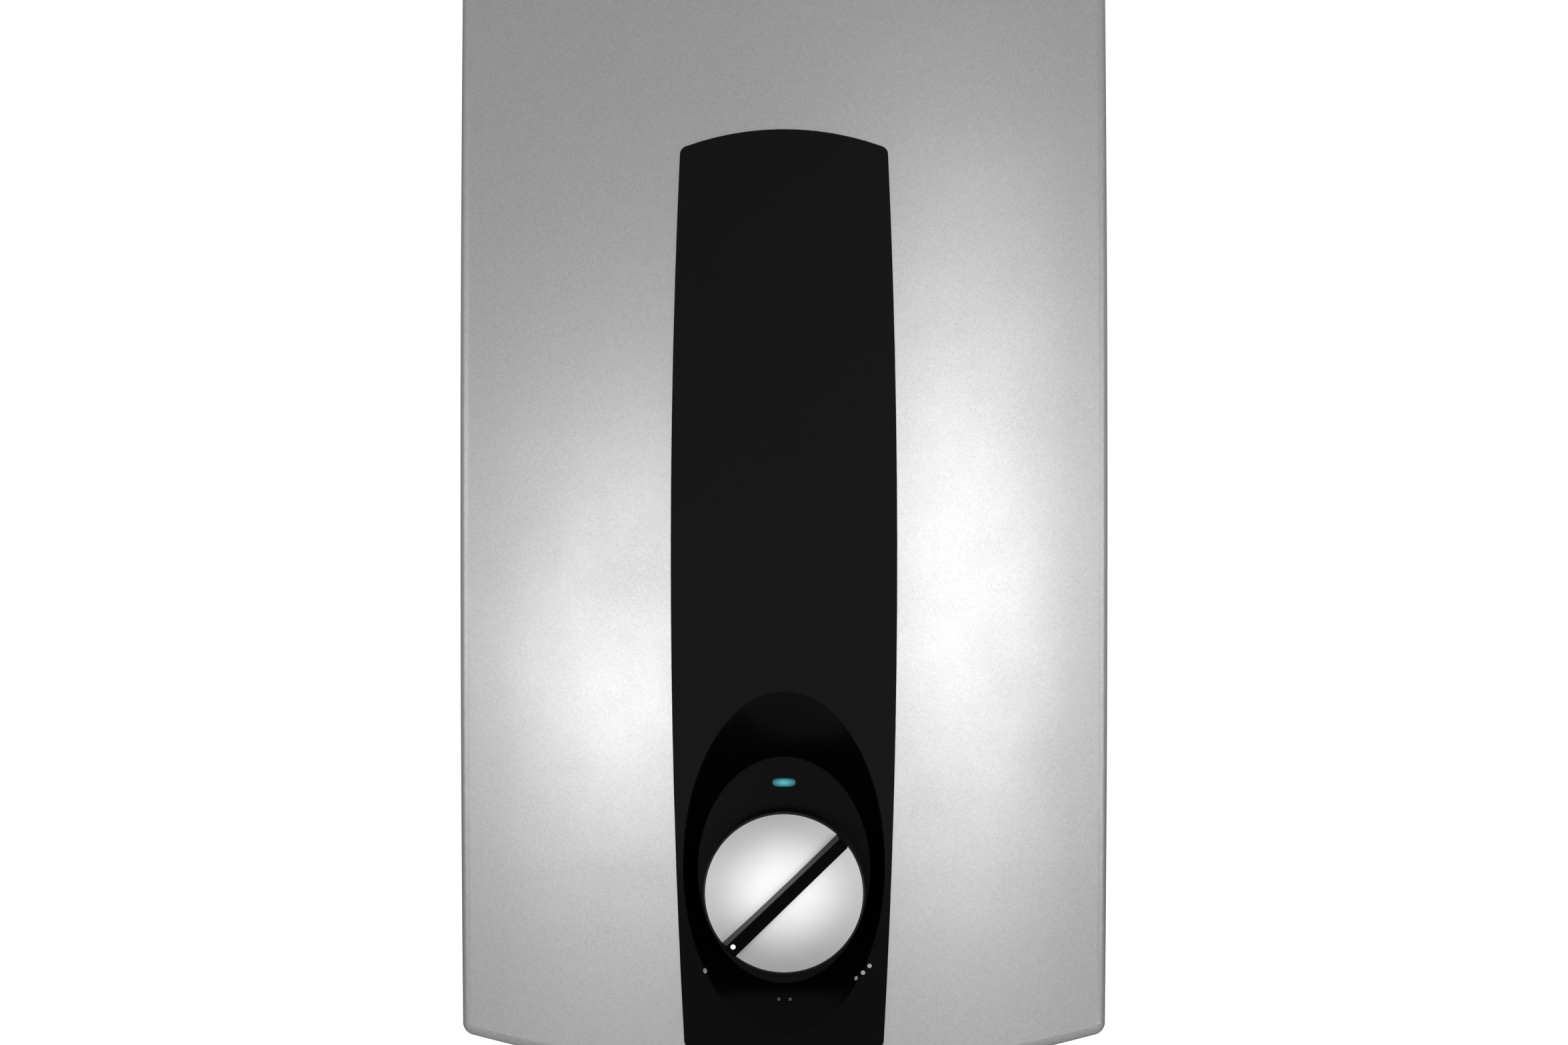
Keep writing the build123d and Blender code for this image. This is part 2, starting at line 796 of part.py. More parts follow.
with BuildPart() as flow_limiter:
    with BuildSketch(Plane.XY.offset(strainer_low + strainer_length + limiter_gap)):
        with Locations((cold_x, -pipe_depth)):
            Circle(strainer_radius)
            with PolarLocations(limiter_pitch_radius, limiter_holes):
                Circle(limiter_hole, mode=Mode.SUBTRACT)
    extrude(amount=limiter_height)
keep(flow_limiter.part, "flow_limiter")

ring_levels = (sensor_low - groove_inset, sensor_high + groove_inset)
with BuildPart() as flow_sensor_body:
    with BuildSketch(Plane.XY.offset(sensor_low)):
        with Locations((cold_x, -pipe_depth)):
            Circle(sensor_radius)
    extrude(amount=sensor_height)
    with BuildSketch(Plane.XY.offset(sensor_low - stub_length)):
        with Locations((cold_x, -pipe_depth)):
            Circle(stub_radius)
    extrude(amount=sensor_height + 2 * stub_length)
    with BuildSketch(Plane.XY.offset(sensor_low - stub_length)):
        with Locations((cold_x, -pipe_depth)):
            Circle(stub_bore)
    extrude(amount=sensor_height + 2 * stub_length, mode=Mode.SUBTRACT)
    with BuildSketch(Plane.XY.offset(chamber_low)):
        with Locations((cold_x, -pipe_depth)):
            Circle(chamber_radius)
    extrude(amount=chamber_high - chamber_low, mode=Mode.SUBTRACT)
    for level in (chamber_low, chamber_high - spider_height):
        with BuildSketch(Plane.XY.offset(level)):
            with Locations((cold_x, -pipe_depth)):
                Circle(spider_hub)
                Rectangle(2 * chamber_radius + sensor_wall, spider_width)
                Rectangle(spider_width, 2 * chamber_radius + sensor_wall)
                Circle(axle_radius + axle_gap, mode=Mode.SUBTRACT)
        extrude(amount=spider_height)
    for level in ring_levels:
        with BuildSketch(Plane.XY.offset(level - groove_height / 2)):
            with Locations((cold_x, -pipe_depth)):
                Circle(stub_radius + overrun)
                Circle(stub_radius - groove_depth, mode=Mode.SUBTRACT)
        extrude(amount=groove_height, mode=Mode.SUBTRACT)
keep(flow_sensor_body.part, "flow_sensor_body")

ring_radius = stub_radius - groove_depth + ring_section + axle_gap
with BuildPart() as stub_seals:
    for level in ring_levels:
        with Locations((cold_x, -pipe_depth, level)):
            Torus(ring_radius, ring_section)
keep(stub_seals.part, "stub_seals")

with BuildPart() as turbine_axle:
    with BuildSketch(Plane.XY.offset(chamber_low)):
        with Locations((cold_x, -pipe_depth)):
            Circle(axle_radius)
    extrude(amount=chamber_high - chamber_low)
keep(turbine_axle.part, "turbine_axle")

blade_reach = chamber_radius - turbine_tip_gap
with BuildPart() as flow_turbine:
    with Locations((cold_x, -pipe_depth, turbine_z)):
        with PolarLocations(blade_reach / 2, turbine_blades):
            Box(blade_reach, blade_thickness, turbine_height, rotation=(blade_tilt, 0, 0))
        Cylinder(blade_reach, turbine_height, mode=Mode.INTERSECT)
        Cylinder(turbine_hub, turbine_height)
        Cylinder(axle_radius + axle_gap, turbine_height, mode=Mode.SUBTRACT)
keep(flow_turbine.part, "flow_turbine")

with BuildPart() as flow_pickup:
    with BuildSketch(Plane.XZ.offset(pipe_depth)):
        with Locations((cold_x, turbine_z)):
            Rectangle(pickup_width, pickup_height)
    extrude(amount=sensor_radius + pickup_depth)
    with BuildSketch(Plane.XY.offset(sensor_low)):
        with Locations((cold_x, -pipe_depth)):
            Circle(sensor_radius)
    extrude(amount=sensor_height, mode=Mode.SUBTRACT)
keep(flow_pickup.part, "flow_pickup")

# Heating cylinder: copper vessel with a neck, an outlet port and two flat pads
port_end = cold_x - cylinder_radius - port_length
with BuildPart() as heating_cylinder:
    with BuildSketch(Plane.XY.offset(cylinder_low)):
        with Locations((cold_x, -pipe_depth)):
            Circle(cylinder_radius)
    extrude(amount=cylinder_height)
    with BuildSketch(Plane.XY.offset(neck_low)):
        with Locations((cold_x, -pipe_depth)):
            Circle(socket_radius)
    extrude(amount=socket_height)
    with BuildSketch(Plane.YZ.offset(port_end)):
        with Locations((-pipe_depth, outlet_z)):
            Circle(port_radius)
    extrude(amount=cylinder_radius + port_length)
    with BuildSketch(Plane.XZ.offset(pipe_depth)):
        for z in pad_z:
            with Locations((cold_x, z)):
                Rectangle(pad_size, pad_size)
    extrude(amount=pad_depth - pipe_depth)
    with BuildSketch(Plane.XY.offset(cylinder_low + cylinder_floor)):
        with Locations((cold_x, -pipe_depth)):
            Circle(cylinder_radius - cylinder_wall)
    extrude(amount=cylinder_height, mode=Mode.SUBTRACT)
    with BuildSketch(Plane.XY.offset(neck_low)):
        with Locations((cold_x, -pipe_depth)):
            Circle(stub_radius + fit_gap)
    extrude(amount=socket_height, mode=Mode.SUBTRACT)
    with BuildSketch(Plane.XY.offset(cylinder_low)):
        with Locations((cold_x, -pipe_depth)):
            Circle(stub_bore)
    extrude(amount=cylinder_floor, mode=Mode.SUBTRACT)
    with BuildSketch(Plane.YZ.offset(port_end)):
        with Locations((-pipe_depth, outlet_z)):
            Circle(pipe_radius + fit_gap)
    extrude(amount=pipe_seat, mode=Mode.SUBTRACT)
    with BuildSketch(Plane.YZ.offset(port_end)):
        with Locations((-pipe_depth, outlet_z)):
            Circle(pipe_radius - pipe_wall)
    extrude(amount=cylinder_radius + port_length, mode=Mode.SUBTRACT)
keep(heating_cylinder.part, "heating_cylinder")

with BuildPart() as cylinder_cap:
    with BuildSketch(Plane.XY.offset(cylinder_high - cap_skirt)):
        with Locations((cold_x, -pipe_depth)):
            Circle(cylinder_radius + fit_gap + cap_wall)
    extrude(amount=cap_skirt + cap_top)
    with BuildSketch(Plane.XY.offset(cylinder_high - cap_skirt)):
        with Locations((cold_x, -pipe_depth)):
            Circle(cylinder_radius + fit_gap)
    extrude(amount=cap_skirt, mode=Mode.SUBTRACT)
    with BuildSketch(Plane.XY.offset(cylinder_high)):
        with Locations((cold_x, -pipe_depth)):
            with GridLocations(element_spacing, element_spacing, 2, 2):
                Circle(element_radius + fit_gap)
    extrude(amount=cap_top, mode=Mode.SUBTRACT)
    chamfer(cylinder_cap.faces().sort_by(Axis.Z)[-1].outer_wire().edges(), thread_chamfer)
keep(cylinder_cap.part, "cylinder_cap")

element_low = cylinder_low + element_clear + element_spacing / 2
left_leg = cold_x - element_spacing / 2
right_leg = cold_x + element_spacing / 2
with BuildPart() as heating_elements:
    for depth in (pipe_depth - element_spacing / 2, pipe_depth + element_spacing / 2):
        with BuildLine(Plane.XZ.offset(depth)):
            Line((left_leg, cap_high), (left_leg, element_low))
            ThreePointArc(
                (left_leg, element_low),
                (cold_x, element_low - element_spacing / 2),
                (right_leg, element_low),
            )
            Line((right_leg, element_low), (right_leg, cap_high))
        with BuildSketch(Plane.XY.offset(cap_high)):
            with Locations((left_leg, -depth)):
                Circle(element_radius)
        sweep()
    with BuildSketch(Plane.XY.offset(cap_high)):
        with Locations((cold_x, -pipe_depth)):
            with GridLocations(element_spacing, element_spacing, 2, 2):
                Circle(element_pin_radius)
    extrude(amount=bushing_height + element_pin_height)
keep(heating_elements.part, "heating_elements")

with BuildPart() as element_bushings:
    with BuildSketch(Plane.XY.offset(cap_high)):
        with Locations((cold_x, -pipe_depth)):
            with GridLocations(element_spacing, element_spacing, 2, 2):
                Circle(bushing_radius)
                Circle(element_pin_radius + fit_gap, mode=Mode.SUBTRACT)
    extrude(amount=bushing_height)
keep(element_bushings.part, "element_bushings")

with BuildPart() as outlet_pipe:
    with BuildLine(Plane.XZ.offset(pipe_depth)):
        FilletPolyline(
            (port_end + pipe_seat - fit_gap, outlet_z),
            (hot_x, outlet_z),
            (hot_x, collar_high + fit_gap),
            radius=pipe_bend,
        )
    with BuildSketch(Plane.YZ.offset(port_end + pipe_seat - fit_gap)):
        with Locations((-pipe_depth, outlet_z)):
            Circle(pipe_radius)
            Circle(pipe_radius - pipe_wall, mode=Mode.SUBTRACT)
    sweep()
keep(outlet_pipe.part, "outlet_pipe")

with BuildPart() as outlet_probe:
    with BuildSketch(Plane.XY.offset(probe_z - probe_height / 2)):
        with Locations((hot_x, -pipe_depth)):
            Circle(pipe_radius + fit_gap + probe_wall)
            Rectangle(
                probe_width,
                pipe_radius + fit_gap + probe_wall + probe_depth,
                align=(Align.CENTER, Align.MAX),
            )
            Circle(pipe_radius + fit_gap, mode=Mode.SUBTRACT)
            Rectangle(
                pipe_radius,
                pipe_radius + probe_depth,
                align=(Align.CENTER, Align.MIN),
                mode=Mode.SUBTRACT,
            )
    extrude(amount=probe_height)
keep(outlet_probe.part, "outlet_probe")

# Clamps, clips and what sits on the cylinder's pads
with BuildPart() as cylinder_clamps:
    for z in clamp_z:
        with BuildSketch(Plane.XY.offset(z - clamp_width / 2)):
            with Locations((cold_x, -pipe_depth)):
                Circle(clamp_outer)
                Rectangle(
                    2 * clamp_outer, pipe_depth - housing_back, align=(Align.CENTER, Align.MIN)
                )
            with Locations((cold_x, -housing_back)):
                Rectangle(
                    2 * (clamp_outer + clamp_foot), clamp_wall, align=(Align.CENTER, Align.MAX)
                )
            with Locations((cold_x, -pipe_depth)):
                Circle(clamp_inner, mode=Mode.SUBTRACT)
                Rectangle(
                    2 * clamp_inner,
                    pipe_depth,
                    align=(Align.CENTER, Align.MIN),
                    mode=Mode.SUBTRACT,
                )
        extrude(amount=clamp_width)
    with BuildSketch(Plane.XZ.offset(housing_back)):
        for z in clamp_z:
            with Locations((cold_x, z)):
                with GridLocations(2 * clamp_screw_x, 0, 2, 1):
                    Circle(clamp_screw_radius)
    extrude(amount=clamp_wall, mode=Mode.SUBTRACT)
keep(cylinder_clamps.part, "cylinder_clamps")

with BuildPart() as clamp_screws:
    with BuildSketch(Plane.XZ.offset(housing_back - clamp_screw_length)):
        for z in clamp_z:
            with Locations((cold_x, z)):
                with GridLocations(2 * clamp_screw_x, 0, 2, 1):
                    Circle(clamp_screw_radius - screw_gap)
    extrude(amount=clamp_screw_length + clamp_wall)
    with BuildSketch(Plane.XZ.offset(housing_back + clamp_wall)):
        for z in clamp_z:
            with Locations((cold_x, z)):
                with GridLocations(2 * clamp_screw_x, 0, 2, 1):
                    Circle(clamp_screw_head_radius)
    extrude(amount=clamp_screw_head)
keep(clamp_screws.part, "clamp_screws")

clip_places = [(x, socket_high - clip_inset - clip_height) for x in nipple_x]
clip_places += [(cold_x, neck_low + clip_inset)]
with BuildPart() as pipe_clips:
    for x, level in clip_places:
        with BuildSketch(Plane.XY.offset(level)):
            with Locations((x, -pipe_depth)):
                Circle(socket_radius + fit_gap + clip_wall)
                Circle(socket_radius + fit_gap, mode=Mode.SUBTRACT)
                Rectangle(
                    2 * socket_radius * clip_opening_share,
                    2 * socket_radius,
                    align=(Align.CENTER, Align.MIN),
                    mode=Mode.SUBTRACT,
                )
        extrude(amount=clip_height)
keep(pipe_clips.part, "pipe_clips")

cutout_front = pad_depth + cutout_thickness
button_back = cutout_front + button_proud - button_length
with BuildPart() as thermal_cutout:
    with BuildSketch(Plane.XZ.offset(pad_depth)):
        with Locations((cold_x, pad_z[1])):
            Circle(cutout_radius)
    extrude(amount=cutout_thickness)
    with BuildSketch(Plane.XZ.offset(pad_depth + cutout_thickness / 2)):
        with Locations((cold_x, pad_z[1])):
            Rectangle(2 * (cutout_radius + cutout_tab_length), cutout_tab_width)
    extrude(amount=cutout_tab_thickness)
    with BuildSketch(Plane.XZ.offset(button_back - button_travel - seam_gap)):
        with Locations((cold_x, pad_z[1])):
            Circle(button_radius + button_gap)
    extrude(amount=cutout_thickness, mode=Mode.SUBTRACT)
keep(thermal_cutout.part, "thermal_cutout")

with BuildPart() as reset_button:
    with BuildSketch(Plane.XZ.offset(button_back)):
        with Locations((cold_x, pad_z[1])):
            Circle(button_radius)
    extrude(amount=button_length)
keep(reset_button.part, "reset_button")

with BuildPart() as power_switch:
    with BuildSketch(Plane.XZ.offset(pad_depth)):
        with Locations((cold_x, pad_z[0])):
            Rectangle(triac_width, triac_height)
    extrude(amount=triac_thickness)
    with BuildSketch(Plane.XZ.offset(pad_depth + triac_thickness / 2)):
        with Locations((cold_x - triac_width / 2 - triac_leg_length / 2, pad_z[0])):
            with GridLocations(0, triac_leg_pitch, 1, triac_legs):
                Rectangle(triac_leg_length, triac_leg_width)
    extrude(amount=triac_leg_width / 2)
keep(power_switch.part, "power_switch")

# Control board with what is soldered to it
with BuildPart() as control_board:
    with BuildSketch(Plane.XZ.offset(board_depth)):
        with Locations((board_x, board_z)):
            Rectangle(board_width, board_height)
            with GridLocations(post_span_x, post_span_z, 2, 2):
                Circle(board_screw_radius, mode=Mode.SUBTRACT)
    extrude(amount=board_thickness)
keep(control_board.part, "control_board")

with BuildPart() as board_screws:
    with BuildSketch(Plane.XZ.offset(board_depth - board_screw_length + overrun)):
        with Locations((board_x, board_z)):
            with GridLocations(post_span_x, post_span_z, 2, 2):
                Circle(board_screw_radius - screw_gap)
    extrude(amount=board_screw_length - overrun + board_thickness)
    with BuildSketch(Plane.XZ.offset(board_front)):
        with Locations((board_x, board_z)):
            with GridLocations(post_span_x, post_span_z, 2, 2):
                Circle(board_screw_head_radius)
    extrude(amount=board_screw_head)
keep(board_screws.part, "board_screws")

with BuildPart() as potentiometer_body:
    with BuildSketch(Plane.XZ.offset(board_front)):
        with Locations((0, knob_z)):
            Rectangle(pot_width, pot_width)
    extrude(amount=pot_thickness)
    with BuildSketch(Plane.XZ.offset(board_front + rotor_base)):
        with Locations((0, knob_z)):
            Circle(rotor_radius + rotor_gap)
    extrude(amount=pot_thickness, mode=Mode.SUBTRACT)
keep(potentiometer_body.part, "potentiometer_body")

rotor_back = board_front + rotor_base + screw_gap
rotor_front = board_front + pot_thickness + rotor_proud
with BuildPart() as potentiometer_rotor:
    with BuildSketch(Plane.XZ.offset(rotor_back)):
        with Locations((0, knob_z)):
            Circle(rotor_radius)
    extrude(amount=rotor_front - rotor_back)
    with BuildSketch(Plane.XZ.offset(rotor_back + rotor_base)):
        with Locations((0, knob_z)):
            add(bore_profile)
    extrude(amount=rotor_front - rotor_back, mode=Mode.SUBTRACT)
keep(potentiometer_rotor.part, "potentiometer_rotor")

with BuildPart() as status_led:
    with BuildSketch(Plane.XZ.offset(board_front)):
        with Locations((0, lens_z)):
            Rectangle(led_width, led_height)
    extrude(amount=led_thickness)
keep(status_led.part, "status_led")


def board_place(shares):
    """Place on the board from shares of its width and height."""
    return (board_left + shares[0] * board_width, board_low + shares[1] * board_height)


relay_z = board_top - relay_top_margin
with BuildPart() as relays:
    with BuildSketch(Plane.XZ.offset(board_front)):
        for share in relay_shares:
            with Locations((board_left + share * board_width, relay_z)):
                Rectangle(relay_width, relay_height)
    extrude(amount=relay_thickness)
keep(relays.part, "relays")

with BuildPart() as transformer:
    with BuildSketch(Plane.XZ.offset(board_front)):
        with Locations(board_place(transformer_shares)):
            Rectangle(transformer_width, transformer_height * coil_share)
    extrude(amount=transformer_thickness)
    with BuildSketch(Plane.XZ.offset(board_front)):
        with Locations(board_place(transformer_shares)):
            Rectangle(transformer_width * coil_share, transformer_height)
    extrude(amount=transformer_core)
keep(transformer.part, "transformer")

with BuildPart() as capacitors:
    with BuildSketch(Plane.XZ.offset(board_front)):
        with Locations(board_place(capacitor_shares)):
            with GridLocations(0, capacitor_pitch, 1, 2):
                Circle(capacitor_radius)
    extrude(amount=capacitor_length)
    fillet(capacitors.faces().group_by(Axis.Y)[0].edges(), capacitor_edge)
keep(capacitors.part, "capacitors")

with BuildPart() as control_chip:
    with BuildSketch(Plane.XZ.offset(board_front)):
        with Locations(board_place(chip_shares)):
            Rectangle(chip_size, chip_size)
    extrude(amount=chip_thickness)
keep(control_chip.part, "control_chip")

plug_top_x = [board_left + share * board_width for share in plug_top_shares]
pot_high = knob_z + pot_width / 2
plug_side_z = [pot_high + share * (board_top - pot_high) for share in plug_side_shares]
plug_edge_z = board_top - plug_inset
plug_edge_x = board_right - plug_inset
with BuildPart() as board_plugs:
    with BuildSketch(Plane.XZ.offset(board_front)):
        for x in plug_top_x:
            with Locations((x, plug_edge_z)):
                Rectangle(plug_width, plug_height, align=(Align.CENTER, Align.MAX))
        for z in plug_side_z:
            with Locations((plug_edge_x, z)):
                Rectangle(plug_height, plug_width, align=(Align.MAX, Align.CENTER))
    extrude(amount=plug_thickness)
keep(board_plugs.part, "board_plugs")

# Mains connection
block_width = block_poles * block_pitch + 2 * block_wall
block_front = housing_back + block_thickness
entry_depth = housing_back + block_entry_depth
block_top = block_bottom + block_height
block_z = block_bottom + block_height / 2
with BuildPart() as terminal_block:
    with BuildSketch(Plane.XZ.offset(housing_back)):
        with Locations((block_x, block_z)):
            Rectangle(block_width, block_height)
    extrude(amount=block_thickness)
    with BuildSketch(Plane.XZ.offset(block_front)):
        with Locations((block_x, block_z)):
            with GridLocations(block_pitch, 0, block_poles, 1):
                Circle(block_well_radius)
    extrude(amount=-block_well_depth, mode=Mode.SUBTRACT)
    with BuildSketch(Plane.XY.offset(block_bottom)):
        with Locations((block_x, -entry_depth)):
            with GridLocations(block_pitch, 0, block_poles, 1):
                Circle(block_entry_radius)
    extrude(amount=block_entry_length, mode=Mode.SUBTRACT)
keep(terminal_block.part, "terminal_block")

well_floor = block_front - block_well_depth
with BuildPart() as terminal_screws:
    with BuildSketch(Plane.XZ.offset(well_floor)):
        with Locations((block_x, block_z)):
            with GridLocations(block_pitch, 0, block_poles, 1):
                Circle(block_screw_radius)
    extrude(amount=block_screw_height)
    with BuildSketch(Plane.XZ.offset(well_floor + block_screw_height)):
        with Locations((block_x, block_z)):
            with GridLocations(block_pitch, 0, block_poles, 1):
                Rectangle(2 * block_screw_radius, block_slot_width)
    extrude(amount=-block_slot_depth, mode=Mode.SUBTRACT)
keep(terminal_screws.part, "terminal_screws")

flange_top = bottom_z(0, housing_inset) - fit_gap
flange_radius = grommet_radius + grommet_flange
lip_low = bottom_z(abs(cable_x) + flange_radius, housing_inner) + fit_gap
with BuildPart() as cable_grommet:
    with BuildSketch(Plane.XY.offset(flange_top - grommet_lip)):
        with Locations((cable_x, -pipe_depth)):
            Circle(grommet_radius)
    extrude(amount=lip_low - flange_top + 2 * grommet_lip)
    for level in (flange_top - grommet_lip, lip_low):
        with BuildSketch(Plane.XY.offset(level)):
            with Locations((cable_x, -pipe_depth)):
                Circle(flange_radius)
        extrude(amount=grommet_lip)
    with BuildSketch(Plane.XY.offset(flange_top - grommet_lip)):
        with Locations((cable_x, -pipe_depth)):
            Circle(grommet_bore)
    extrude(amount=lip_low - flange_top + 2 * grommet_lip, mode=Mode.SUBTRACT)
keep(cable_grommet.part, "cable_grommet")

head_top = bottom_z(cover_screw_x[1] - cover_screw_head_radius, 0) - cover_screw_gap
with BuildPart() as cover_screws:
    with BuildSketch(Plane.XY.offset(head_top)):
        for x in cover_screw_x:
            with Locations((x, -pipe_depth)):
                Circle(cover_screw_radius - screw_gap)
    extrude(amount=seat_high - head_top)
    with BuildSketch(Plane.XY.offset(head_top - cover_screw_head)):
        for x in cover_screw_x:
            with Locations((x, -pipe_depth)):
                Circle(cover_screw_head_radius)
    extrude(amount=cover_screw_head)
keep(cover_screws.part, "cover_screws")

# Inner leads, each a list of points given as x, depth and height
pin_high = cap_high + bushing_height + element_pin_height
front_leg = pipe_depth + element_spacing / 2
rear_leg = pipe_depth - element_spacing / 2
plug_depth = board_front + plug_thickness / 2
pole_x = (block_x - block_pitch, block_x + block_pitch)
loop_high = pin_high + loop_rise_high
loop_low = pin_high + loop_rise_low
probe_front = pipe_depth + pipe_radius + fit_gap + probe_wall + probe_depth
lead_back = board_depth - lead_step
rise_z = plug_edge_z + lead_rise
lead_bend_x = plug_edge_x + lead_reach
lead_turn_x = plug_edge_x + lead_reach * lead_turn_share
flow_depth = pipe_depth + sensor_radius + pickup_depth / 2
tab_depth = pad_depth + cutout_thickness / 2 + cutout_tab_thickness / 2
tab_x = cold_x - cutout_radius - cutout_tab_length
switch_depth = pad_depth + triac_thickness / 2 + triac_leg_width / 4
switch_x = cold_x - triac_width / 2 - triac_leg_length
cutout_lead_x = plug_top_x[2] + lead_step


def lead(route, radius, bend):
    """Insulated lead along a route of straight runs with rounded corners."""
    points = [Vector(x, -depth, z) for x, depth, z in route]
    with BuildPart() as run:
        with BuildLine():
            FilletPolyline(*points, radius=bend)
        with BuildSketch(Plane(origin=points[0], z_dir=points[1] - points[0])):
            Circle(radius)
        sweep()
    return run.part


power_routes = (
    (
        (pole_x[0], entry_depth, block_top),
        (pole_x[0], entry_depth, loop_high),
        (right_leg, rear_leg, loop_high),
        (right_leg, rear_leg, pin_high),
    ),
    (
        (pole_x[1], entry_depth, block_top),
        (pole_x[1], entry_depth, loop_low),
        (left_leg, rear_leg, loop_low),
        (left_leg, rear_leg, pin_high),
    ),
    (
        (plug_top_x[2], plug_depth, plug_edge_z),
        (plug_top_x[2], plug_depth, rise_z),
        (plug_top_x[2], lead_back, loop_high),
        (right_leg, front_leg, loop_high),
        (right_leg, front_leg, pin_high),
    ),
    (
        (plug_top_x[1], plug_depth, plug_edge_z),
        (plug_top_x[1], plug_depth, rise_z),
        (plug_top_x[1], lead_back, loop_low),
        (left_leg, front_leg, loop_low),
        (left_leg, front_leg, pin_high),
    ),
)
signal_routes = (
    (
        (hot_x, probe_front, probe_z),
        (hot_x, lead_back, probe_z),
        (plug_top_x[0], plug_depth, rise_z),
        (plug_top_x[0], plug_depth, plug_edge_z),
    ),
    (
        (cold_x - pickup_width / 2, flow_depth, turbine_z),
        (lead_bend_x, flow_depth, turbine_z),
        (lead_bend_x, plug_depth, plug_side_z[0]),
        (plug_edge_x, plug_depth, plug_side_z[0]),
    ),
    (
        (switch_x, switch_depth, pad_z[0]),
        (lead_bend_x, switch_depth, pad_z[0]),
        (lead_turn_x, plug_depth, plug_side_z[1]),
        (plug_edge_x, plug_depth, plug_side_z[1]),
    ),
    (
        (tab_x, tab_depth, pad_z[1]),
        (cutout_lead_x, tab_depth, pad_z[1]),
        (cutout_lead_x, plug_depth, rise_z),
        (cutout_lead_x, plug_depth, plug_edge_z),
    ),
)
power_runs = [lead(route, wire_radius, wire_bend) for route in power_routes]
signal_runs = [lead(route, lead_radius, lead_bend) for route in signal_routes]
with BuildPart() as power_leads:
    add(power_runs)
keep(power_leads.part, "power_leads")
with BuildPart() as signal_leads:
    add(signal_runs)
keep(signal_leads.part, "signal_leads")
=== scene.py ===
"""Wall-hung electric water heater: finishes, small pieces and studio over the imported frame.

Lengths are in millimetres, apart from those that say metres.
"""
import logging
import math
from collections.abc import Iterator
from dataclasses import dataclass, fields
from enum import Enum
from typing import Any, Optional

import bmesh
import bpy
from bmesh.types import BMesh
from bpy.types import Material, Mesh, Node, NodeSocket, NodeTree, Object
from mathutils import Matrix, Vector


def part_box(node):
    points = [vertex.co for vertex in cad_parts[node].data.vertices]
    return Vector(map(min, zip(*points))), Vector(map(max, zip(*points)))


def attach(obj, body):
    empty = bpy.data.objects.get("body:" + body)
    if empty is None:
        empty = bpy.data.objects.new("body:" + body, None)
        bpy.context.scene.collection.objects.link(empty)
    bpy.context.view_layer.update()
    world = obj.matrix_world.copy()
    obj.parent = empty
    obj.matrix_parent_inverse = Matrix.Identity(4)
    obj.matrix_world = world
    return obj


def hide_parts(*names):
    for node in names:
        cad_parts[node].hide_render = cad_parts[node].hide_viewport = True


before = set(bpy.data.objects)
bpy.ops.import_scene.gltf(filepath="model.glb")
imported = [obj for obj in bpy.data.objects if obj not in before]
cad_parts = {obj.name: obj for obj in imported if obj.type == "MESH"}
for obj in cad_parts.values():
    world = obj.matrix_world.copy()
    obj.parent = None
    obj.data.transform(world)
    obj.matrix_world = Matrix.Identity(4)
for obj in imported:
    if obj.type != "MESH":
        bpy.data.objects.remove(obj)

LOG = logging.getLogger("heater")
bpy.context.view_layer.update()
NODES: dict[str, Object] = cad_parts
Pair = tuple[float, float]
Triple = tuple[float, float, float]

# A millimetre, in metres.
MM = 0.001
# Points closer than this are one, in metres.
MERGE = 1e-6
# Edges sharper than this keep their crease when the faces shade smoothly.
CREASE = math.radians(32)
# Values of a noise between which the colour, and the gloss, run their whole way.
COLOUR_RUN = (0.32, 0.68)
GLOSS_RUN = (0.3, 0.7)
# A grid lies flat, and this stands it up in the plane of the casing's front.
UPRIGHT = (math.pi / 2, 0.0, 0.0)


def linear(code: str) -> tuple[float, float, float, float]:
    """Turn an sRGB hex value into linear colour.

    Args:
        code: Six hex digits, such as "8A8D90".

    Returns:
        Red, green and blue in linear light, and alpha 1.
    """
    shares = [int(code[i:i + 2], 16) / 255 for i in (0, 2, 4)]
    red, green, blue = [s / 12.92 if s <= 0.04045 else ((s + 0.055) / 1.055) ** 2.4 for s in shares]
    return (red, green, blue, 1.0)


class Nodes:
    """A node tree in the making.

    Attributes:
        tree: Blender's node tree.
        family: What the names of its usual nodes begin with.
    """

    family = "ShaderNode"

    def __init__(self, tree: NodeTree) -> None:
        """Start with no nodes.

        Args:
            tree: Blender's node tree.
        """
        self.tree = tree
        tree.nodes.clear()

    def add(self, kind: str, inputs: Optional[dict] = None, **settings: Any) -> Any:
        """Add a node with its settings, values and links.

        Args:
            kind: Blender's name for the type of node, in short for the usual ones.
            inputs: What each input takes, by name or place: a value, a socket or a node's first output.
            settings: The node's own properties.

        Returns:
            The new node.
        """
        node = self.tree.nodes.new(kind if "Node" in kind else self.family + kind)
        for name, value in settings.items():
            setattr(node, name, value)
        for key, value in (inputs or {}).items():
            source = value.outputs[0] if isinstance(value, Node) else value
            if isinstance(source, NodeSocket):
                self.tree.links.new(source, node.inputs[key])
            else:
                node.inputs[key].default_value = value
        return node


